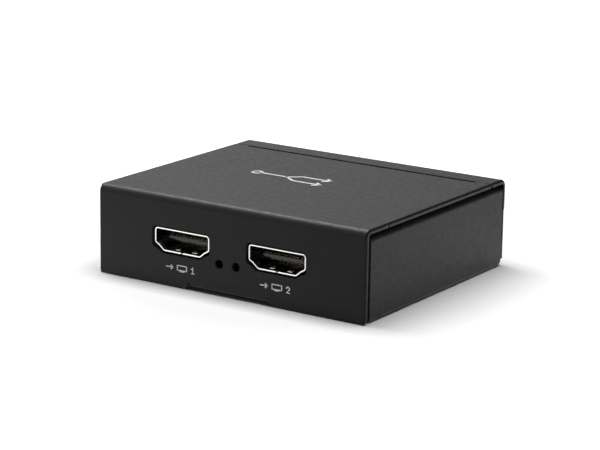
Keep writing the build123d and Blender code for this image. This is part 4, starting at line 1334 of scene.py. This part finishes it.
class SPLITTER_OT_power_jack(bpy.types.Operator):
    """Build the power jack's housing, pin and contact strip"""

    bl_idname = "splitter.power_jack"
    bl_label = "Power jack"

    def execute(self, context):
        j = context.scene.splitter_jack
        place = jack_place(context)
        nose_front = j.nose_recess - j.wall_gap - context.scene.splitter_case.sheet
        housing = move_mesh(self.housing_mesh(j, nose_front), place)
        pin = move_mesh(self.pin_mesh(j, nose_front + j.pin_front), place)
        strip = move_mesh(self.strip_mesh(j), place)
        plastic = moulded_plastic("jack_moulding", tone=(0.016, 0.016, 0.017), roughness=0.36,
                                  grain=0.16 * MM)
        steel = plated_metal("jack_plating", tone=(0.72, 0.71, 0.68), roughness=0.3,
                             grain=0.12 * MM)
        add_piece("jack_housing", housing, plastic, ["power_jack_housing"])
        add_piece("jack_pin", pin, steel, ["power_jack_pin"])
        add_piece("jack_contact_strip", strip, steel, ["power_jack_spring"])
        return {"FINISHED"}

    @staticmethod
    def housing_mesh(j, nose_front):
        """The moulded housing with its bore, and the round nose in the wall's hole."""
        half = j.width / 2
        bore = j.bore / 2
        edge = 0.12 * MM
        foot_corner = 0.15 * MM
        roof_corner = 0.2 * MM
        outline = rounded_loop([
            (-half, 0.0, foot_corner), (half, 0.0, foot_corner),
            (half, j.height - j.chamfer, roof_corner), (half - j.chamfer, j.height, roof_corner),
            (j.chamfer - half, j.height, roof_corner),
            (-half, j.height - j.chamfer, roof_corner)])
        front = sheet_mesh("front", [outline, circle_loop(0.0, j.axis, bore, 48)],
                           j.bore_depth, edge, lambda u, v, d: Vector((u, d, v)))
        rear = sheet_mesh("rear", [outline], j.depth - j.bore_depth, edge,
                          lambda u, v, d: Vector((u, j.bore_depth + d, v)))
        tip = -nose_front
        root = tip - 1.2 * MM
        rim = 0.15 * MM
        outer = j.nose / 2
        nose = turned_mesh("nose", [
            (outer, root), (outer, tip - rim, 1),
            (outer - rim * 0.3, tip - rim * 0.3, 1), (outer - rim, tip, 1),
            (bore + rim * 1.5, tip, 1), (bore + rim * 0.5, tip - rim * 0.4, 1),
            (bore, tip - rim * 1.5, 1), (bore, root)],
            axis_point=(0, 0, j.axis), direction=TOWARDS_MOUTH, steps=64)
        return joined_mesh("housing", front, rear, nose)

    @staticmethod
    def pin_mesh(j, pin_front):
        """The pin with its domed tip, and its flat tail behind the housing."""
        radius = j.pin / 2
        dome_height = radius * 0.5
        dome_steps = 6
        angles = [QUARTER * n / dome_steps for n in range(1, dome_steps + 1)]
        dome = [(radius * math.sin(a), -pin_front + dome_height * (math.cos(a) - 1), 1)
                for a in angles]
        outline = [(0, -pin_front, 1)] + dome + [(radius, -j.depth), (0, -j.depth)]
        pin = turned_mesh("pin", outline, axis_point=(0, 0, j.axis), direction=TOWARDS_MOUTH,
                          steps=32)
        low_corner = 0.3 * MM
        high_corner = 0.4 * MM
        tail_loop = rounded_loop([
            (-radius, -j.tail_low, low_corner), (radius, -j.tail_low, low_corner),
            (radius, j.axis + radius, high_corner), (-radius, j.axis + radius, high_corner)])
        tail = sheet_mesh("tail", [tail_loop], j.tail, 0.08 * MM,
                          lambda u, v, d: Vector((u, j.depth + d, v)))
        return joined_mesh("pin", pin, tail)

    @staticmethod
    def strip_mesh(j):
        """The bent contact strip below the pin, with its tail."""
        floor = j.axis - j.bore / 2
        crest = (j.spring_front + j.spring_rear) / 2
        top = floor + j.spring_lift
        thick = j.spring_sheet
        tip_corner = 0.1 * MM
        loop = rounded_loop([
            (j.spring_front, floor - thick, tip_corner), (crest, top - thick, 1.2 * MM),
            (j.spring_rear, j.spring_seat, 0.2 * MM), (j.spring_rear, -j.tail_low, 0.0),
            (j.spring_rear + thick, -j.tail_low, 0.0),
            (j.spring_rear + thick, j.spring_seat + thick, 0.3 * MM),
            (crest, top, 1.4 * MM), (j.spring_front, floor, tip_corner)], steps=12)
        half = j.spring / 2
        return sheet_mesh("strip", [loop], j.spring, 0.05 * MM,
                          lambda u, v, d: Vector((d - half, u, v)))


def cross_loop(width, span):
    """A cross-shaped hole with rounded ends, with the material on its left."""
    w = width / 2
    r = span / 2
    end = 0.2 * MM
    inner = 0.12 * MM
    corners = [(r, -w), (r, w), (w, w), (w, r), (-w, r), (-w, w), (-r, w), (-r, -w), (-w, -w),
               (-w, -r), (w, -r), (w, -w)]
    radii = [end, end, inner] * 4
    loop = rounded_loop([(x, y, radius) for (x, y), radius in zip(corners, radii)], steps=3)
    return loop[::-1]


class SPLITTER_OT_fasteners(bpy.types.Operator):
    """Place the flush case screws and the standoffs"""

    bl_idname = "splitter.fasteners"
    bl_label = "Screws and standoffs"

    def execute(self, context):
        c = context.scene.splitter_case
        black = turned_metal("black_zinc", tone=(0.09, 0.09, 0.095), roughness=0.42)
        tree = four_copies()
        screws = run_nodes("case_screw_heads", self.screw_mesh(c), tree, {
            "Width": c.screw_pitch, "Depth": c.depth - 2 * c.screw_from_wall,
            "Turn": math.pi, "Seed": 7}, black)
        add_piece("flush_screws", screws, black, ["case_screws"])
        brass = turned_metal("turned_brass", tone=(0.72, 0.56, 0.28), roughness=0.3)
        posts = run_nodes("standoff_posts", self.standoff_mesh(c), tree, {
            "Width": 2 * c.standoff_x, "Depth": 2 * c.standoff_y, "Turn": 0.0, "Seed": 3}, brass)
        add_piece("hex_standoffs", posts, brass, ["board_standoffs"])
        return {"FINISHED"}

    @staticmethod
    def screw_mesh(c):
        """A flush screw: a countersunk head with a cross slot, and its shank."""
        head = c.screw_head / 2
        shank = c.screw_thread / 2
        slot_depth = 0.5 * MM
        slot_taper = 0.12 * MM
        slope = (head - shank) / c.tray_sheet
        upper = sheet_mesh(
            "head", [disc_loop(head), cross_loop(0.6 * MM, 2.2 * MM)],
            slot_depth, 0.06 * MM, lambda u, v, d: Vector((u, v, d)),
            flares={0: (0.0, slope * slot_depth), 1: (0.0, -slot_taper)})
        neck = head - slope * slot_depth - 0.05 * MM
        tip = 0.3 * MM
        lower = turned_mesh("shank", [
            (0, slot_depth), (neck, slot_depth), (shank, c.tray_sheet),
            (shank, c.screw_length - tip), (shank - tip, c.screw_length),
            (0, c.screw_length)], axis_point=ORIGIN, direction=UPWARDS, steps=40)
        return joined_mesh("screw", upper, lower)

    @staticmethod
    def standoff_mesh(c):
        """A hexagonal standoff with a bore, on a round foot that fills its hole in the tray."""
        foot = c.standoff_foot / 2
        pit = 0.5 * MM
        edge = 0.12 * MM
        post = turned_mesh("foot", [
            (0, edge), (pit * 0.7, 0.1 * MM), (pit, 0.0, 1), (foot - edge, 0.0, 1),
            (foot, edge, 1), (foot, c.tray_sheet), (0, c.tray_sheet)],
            axis_point=ORIGIN, direction=UPWARDS, steps=40)
        across_corners = c.standoff_flats / 2 / math.cos(math.pi / 6)
        hexagon_loop = rounded_loop([
            (across_corners * math.cos(a), across_corners * math.sin(a), 0.2 * MM)
            for a in (math.pi / 3 * n for n in range(6))], steps=4)
        bore_loop = circle_loop(0, 0, c.screw_thread / 2 + c.screw_gap, 24)
        hexagon = sheet_mesh("hexagon", [hexagon_loop, bore_loop],
                             c.standoff_top - c.tray_sheet, 0.15 * MM,
                             lambda u, v, d: Vector((u, v, c.tray_sheet + d)))
        return joined_mesh("post", post, hexagon)


def stroke_loop(points, width):
    """A line of even width with round ends, as an outline with its material on the left."""
    half = width / 2
    sharpest = 0.5
    path = [Vector(p) for p in points]
    left = []
    right = []
    for number, here in enumerate(path):
        a = (here - path[max(0, number - 1)]).normalized()
        b = (path[min(len(path) - 1, number + 1)] - here).normalized()
        a = a if a.length else b
        b = b if b.length else a
        side = Vector((-a.y - b.y, a.x + b.x)) / max(sharpest, 1 + a.dot(b)) * half
        left.append(here + side)
        right.append(here - side)
    first = (path[1] - path[0]).normalized() * -half
    last = (path[-1] - path[-2]).normalized() * half
    cap = [QUARTER * k / 4 for k in range(-3, 4)]
    end = [path[-1] + Matrix.Rotation(a, 2) @ last for a in cap]
    start = [path[0] + Matrix.Rotation(a, 2) @ first for a in cap]
    return right + end + left[::-1] + start


def mark_mesh(strokes, width, thickness, place):
    """Printed strokes as thin closed plates."""
    edge = thickness * 0.3
    plates = [sheet_mesh("stroke", [stroke_loop(points, width)], thickness, edge, place)
              for points in strokes]
    return joined_mesh("mark", *plates)


def arc_points(x, y, radius, start, end, steps):
    """Points on an arc, in degrees."""
    return [(x + radius * math.cos(math.radians(a)), y + radius * math.sin(math.radians(a)))
            for a in (start + (end - start) * n / steps for n in range(steps + 1))]


class SPLITTER_OT_printed_marks(bpy.types.Operator):
    """Print a screen sign, an arrow and a number under each front socket, and a one-to-two
    sign on the top"""

    bl_idname = "splitter.printed_marks"
    bl_label = "Printed marks"

    def execute(self, context):
        c = context.scene.splitter_case
        s = context.scene.splitter_sockets
        ink = printed_ink("print_ink", tone=context.scene.splitter_coat.print_ink)
        front = -c.depth / 2
        for number, side in (("1", -1), ("2", 1)):
            middle = (side * s.pitch / 2 + 0.05 * MM, 3.85 * MM)
            mesh = mark_mesh(self.placed(self.output_strokes(number), middle), 0.25 * MM, c.skin,
                             lambda u, v, d: Vector((u, front + d, v)))
            add_piece("output_mark_" + number, mesh, ink)
        mesh = mark_mesh(self.placed(self.one_to_two_strokes(), (-3.0 * MM, 1.0 * MM)), 0.62 * MM,
                         c.skin, lambda u, v, d: Vector((u, v, c.height - d)))
        add_piece("one_to_two_mark", mesh, ink)
        return {"FINISHED"}

    @staticmethod
    def placed(strokes, middle):
        """Strokes in millimetres from a mark's own middle, moved to their place."""
        return [[(middle[0] + x * MM, middle[1] + y * MM) for x, y in stroke]
                for stroke in strokes]

    @staticmethod
    def output_strokes(number):
        """An arrow, a screen on its foot and a number, as strokes in millimetres."""
        digits = {
            "1": [[(2.88, 0.95), (3.28, 1.28), (3.28, 0.0)], [(2.92, 0.0), (3.62, 0.0)]],
            "2": [arc_points(3.2, 0.88, 0.38, 165, -25, 10) + [(2.84, 0.0), (3.62, 0.0)]],
        }
        screen = [(-0.9, 0.2), (1.6, 0.2), (1.6, 1.28), (-0.9, 1.28), (-0.9, 0.2)]
        return [
            [(-3.9, 0.66), (-2.05, 0.66)],
            [(-2.6, 1.1), (-2.05, 0.66), (-2.6, 0.22)],
            screen[:2], screen[1:3], screen[2:4], screen[3:5],
            [(-0.15, -0.02), (0.85, -0.02)],
        ] + digits[number]

    @staticmethod
    def one_to_two_strokes():
        """A ring, a line from it that forks, and an arrowhead on each branch, in millimetres."""
        ring = arc_points(-10.6, 0.0, 1.1, 0, 180, 16)
        fork = (-2.5, 0.0)
        strokes = [[(-9.5, 0.0), fork]]
        for y in (2.2, -2.2):
            strokes.append([fork, (0.5, y), (8.0, y)])
        for y in (2.2, -2.2):
            strokes.append([(6.4, y + 1.2), (8.0, y), (6.4, y - 1.2)])
        return strokes + [ring, [(x, -y) for x, y in ring]]


class SPLITTER_OT_inner_parts(bpy.types.Operator):
    """Give the board and the parts on it their materials"""

    bl_idname = "splitter.inner_parts"
    bl_label = "Board and its parts"

    def execute(self, context):
        resin = moulded_plastic("chip_resin", tone=(0.025, 0.025, 0.027), roughness=0.6,
                                grain=0.08 * MM)
        tin = plated_metal("tin_plating", tone=(0.66, 0.66, 0.65), roughness=0.34,
                           grain=0.1 * MM)
        finish_of = {
            "board_screws": turned_metal("bright_zinc", tone=(0.62, 0.62, 0.6), roughness=0.3),
            "circuit_board": board_laminate("solder_mask", mask=(0.003, 0.007, 0.005),
                                            copper=(0.02, 0.03, 0.016)),
            "indicator_lamp_bodies": moulded_plastic("lamp_moulding", tone=(0.6, 0.6, 0.57),
                                                     roughness=0.5, grain=0.06 * MM),
            "indicator_lamp_lenses": clear_resin("lamp_resin", tone=(0.55, 0.62, 0.5)),
            "splitter_chip": resin,
            "memory_chip": resin,
            "voltage_regulator": resin,
            "splitter_chip_leads": tin,
            "memory_chip_leads": tin,
            "voltage_regulator_leads": tin,
            "chip_part_ends": tin,
            "thermal_pad": moulded_plastic("silicone_pad", tone=(0.33, 0.36, 0.4),
                                           roughness=0.8, grain=0.12 * MM),
            "heat_sink": drawn_aluminium("extruded_aluminium", tone=(0.6, 0.61, 0.62),
                                         roughness=0.38),
            "power_inductor": moulded_plastic("ferrite_moulding", tone=(0.06, 0.06, 0.065),
                                              roughness=0.65, grain=0.14 * MM),
            "capacitor_cans": drawn_aluminium("can_aluminium", tone=(0.7, 0.7, 0.71),
                                              roughness=0.24),
            "capacitor_bases": moulded_plastic("base_moulding", tone=(0.02, 0.02, 0.02),
                                               roughness=0.55, grain=0.1 * MM),
            "clock_crystal": plated_metal("crystal_can", tone=(0.68, 0.68, 0.67),
                                          roughness=0.22, grain=0.14 * MM),
            "ceramic_capacitors": fired_ceramic("tan_ceramic", tone=(0.42, 0.3, 0.19)),
            "chip_resistors": fired_ceramic("resistor_glaze", tone=(0.03, 0.03, 0.035)),
            "surge_arrays": moulded_plastic("surge_resin", tone=(0.05, 0.05, 0.055),
                                            roughness=0.55, grain=0.07 * MM),
            "supply_fuse": fired_ceramic("fuse_lacquer", tone=(0.04, 0.16, 0.08)),
        }
        for name, material in finish_of.items():
            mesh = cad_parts[name].data
            mesh.materials.clear()
            mesh.materials.append(material)
        return {"FINISHED"}


class SPLITTER_OT_stage(bpy.types.Operator):
    """Set up the pale floor, the soft lamps and the camera"""

    bl_idname = "splitter.stage"
    bl_label = "Studio"

    def execute(self, context):
        look = context.scene.splitter_stage
        self.add_floor(look)
        self.add_surround(context.scene, look)
        high = look.lamp_height
        self.add_lamp("overhead_lamp", look.key_power, sides=(0.8, 0.312),
                      place=(-0.14, 0.024, high))
        sheen = self.add_lamp("sheen_lamp", look.sheen_power, sides=(0.3, 0.54),
                              place=(-0.48, 0.4, high))
        sheen.visible_diffuse = False
        self.add_camera(context.scene, look)
        context.scene.view_settings.view_transform = "Standard"
        return {"FINISHED"}

    @staticmethod
    def add_floor(look):
        """A wide pale floor that keeps the shadow and can be looked through from below."""
        made = bmesh.new()
        bmesh.ops.create_grid(made, x_segments=1, y_segments=1, size=look.floor_reach)
        mesh = bpy.data.meshes.new("floor")
        made.to_mesh(mesh)
        made.free()
        floor = bpy.data.objects.new("floor", mesh)
        floor.location.z = -look.floor_drop
        bpy.context.scene.collection.objects.link(floor)
        f = Finish("floor_paper")
        mottle = f.noise(40 * MM, detail=2.0)
        tone = f.mix(mottle, toned(look.floor, 0.99), look.floor)
        paper = f.node("ShaderNodeBsdfDiffuse", None, {"Color": tone})
        away = f.node("ShaderNodeVectorMath", {"operation": "LENGTH"}, {0: f.place}, 1)
        ahead, leftward = (
            f.node("ShaderNodeVectorMath", {"operation": "DOT_PRODUCT"}, {
                0: f.place, 1: direction}, 1)
            for direction in (TO_THE_FRONT, TO_THE_REAR_LEFT))
        # The ramps' places are metres from the middle of the box.
        far = f.ramp(away, (0.044, 0), (0.055, 0.15), (0.1, 0.5), (0.4, 1)) * look.far_lift
        at_front = f.ramp(ahead, (0.029, 0), (0.03, 1))
        past_left = f.ramp(leftward + 0.1, (0.054, 0), (0.113, 1))
        at_rear = f.ramp(0.1 - ahead, (0.07, 0), (0.14, 1))
        mirrored = at_front * past_left * look.front_lift + at_rear * look.rear_lift
        strength = f.ray("Camera") * far + (
            f.ray("Glossy") + f.ray("Transmission")) * (mirrored + look.near_lift)
        glow = f.node("ShaderNodeEmission", None, {
            "Color": (1, 1, 1, 1), "Strength": strength})
        lifted = f.node("ShaderNodeAddShader", None, {0: paper, 1: glow})
        below = f.node("ShaderNodeNewGeometry", output="Backfacing")
        through = f.node("ShaderNodeBsdfTransparent")
        surface = f.node("ShaderNodeMixShader", None, {0: below, 1: lifted, 2: through})
        f.node("ShaderNodeOutputMaterial", None, {"Surface": surface})
        mesh.materials.append(f.material)

    @staticmethod
    def add_surround(scene, look):
        """A surround that is white to the eye and even and dim as a light. In reflections it
        also holds two white cards on the left: a high one in front and a low one behind."""
        world = bpy.data.worlds.new("surround")
        scene.world = world
        world.use_nodes = True
        w = NodeTree(world.node_tree)
        w.tree.nodes.clear()
        direction = w.node("ShaderNodeTexCoord", output="Generated")
        across, ahead, height = (
            w.node("ShaderNodeSeparateXYZ", None, {0: direction}, axis) for axis in range(3))
        # The parts of a direction run from -1 to 1, and a ramp from 0 to 1.
        left = w.ramp(across + 0.5, (0.2, 1), (0.45, 0))
        rear = w.ramp(ahead + 0.5, (0.3, 0), (0.5, 1))
        low = w.ramp(height, (0.2, 1), (0.4, 0)) * rear * look.rear_white
        high = w.ramp(height, (0.0, 0), (0.15, 1), (0.8, 1), (0.95, 0)) * (1 - rear)
        card = (low + high * look.front_white) * left
        mirrored = (w.ray("Glossy") + w.ray("Transmission")) * card
        white = (w.ray("Camera") + mirrored) * (1 - look.fill) + look.fill
        sky = w.node("ShaderNodeBackground", None, {"Color": (1, 1, 1, 1), "Strength": white})
        w.node("ShaderNodeOutputWorld", None, {"Surface": sky})

    @staticmethod
    def add_lamp(name, power, sides, place):
        """A flat soft lamp that faces down."""
        light = bpy.data.lights.new(name, "AREA")
        light.energy = power
        light.shape = "RECTANGLE"
        light.size, light.size_y = sides
        lamp = bpy.data.objects.new(name, light)
        lamp.location = place
        bpy.context.scene.collection.objects.link(lamp)
        return lamp

    @staticmethod
    def add_camera(scene, look):
        """The camera at the photograph's angle."""
        camera = bpy.data.cameras.new("camera")
        camera.lens = look.lens
        camera.sensor_width = 36
        camera.clip_start = 0.01
        camera.clip_end = 20
        eye = bpy.data.objects.new("camera", camera)
        turn = Euler(look.gaze).to_matrix().to_4x4()
        eye.matrix_world = Matrix.Translation(look.eye) @ turn
        scene.collection.objects.link(eye)
        scene.camera = eye


class SPLITTER_PT_panel(bpy.types.Panel):
    """The pieces of the splitter box, in the order in which they are built"""

    bl_label = "Video splitter box"
    bl_space_type = "VIEW_3D"
    bl_region_type = "UI"
    bl_category = "Splitter"

    def draw(self, context):
        for operator in OPERATORS:
            self.layout.operator(operator.bl_idname)


OPERATORS = (
    SPLITTER_OT_cover,
    SPLITTER_OT_rear_panel,
    SPLITTER_OT_tray,
    SPLITTER_OT_sockets,
    SPLITTER_OT_power_jack,
    SPLITTER_OT_fasteners,
    SPLITTER_OT_printed_marks,
    SPLITTER_OT_inner_parts,
    SPLITTER_OT_stage,
)
GROUPS = {
    "splitter_case": CaseSizes,
    "splitter_sockets": SocketSizes,
    "splitter_jack": JackSizes,
    "splitter_coat": CoatLook,
    "splitter_stage": StageLook,
}


def register():
    """Register the classes and hang the property groups on the scene."""
    for group in GROUPS.values():
        bpy.utils.register_class(group)
    for name, group in GROUPS.items():
        setattr(bpy.types.Scene, name, PointerProperty(type=group))
    for operator in OPERATORS:
        bpy.utils.register_class(operator)
    bpy.utils.register_class(SPLITTER_PT_panel)


def unregister():
    """Undo what register did."""
    bpy.utils.unregister_class(SPLITTER_PT_panel)
    for operator in reversed(OPERATORS):
        bpy.utils.unregister_class(operator)
    for name, group in GROUPS.items():
        delattr(bpy.types.Scene, name)
        bpy.utils.unregister_class(group)


def main():
    """Build everything in order."""
    register()
    bpy.ops.splitter.cover()
    bpy.ops.splitter.rear_panel()
    bpy.ops.splitter.tray()
    bpy.ops.splitter.sockets()
    bpy.ops.splitter.power_jack()
    bpy.ops.splitter.fasteners()
    bpy.ops.splitter.printed_marks()
    bpy.ops.splitter.inner_parts()
    bpy.ops.splitter.stage()


if __name__ == "__main__":
    main()
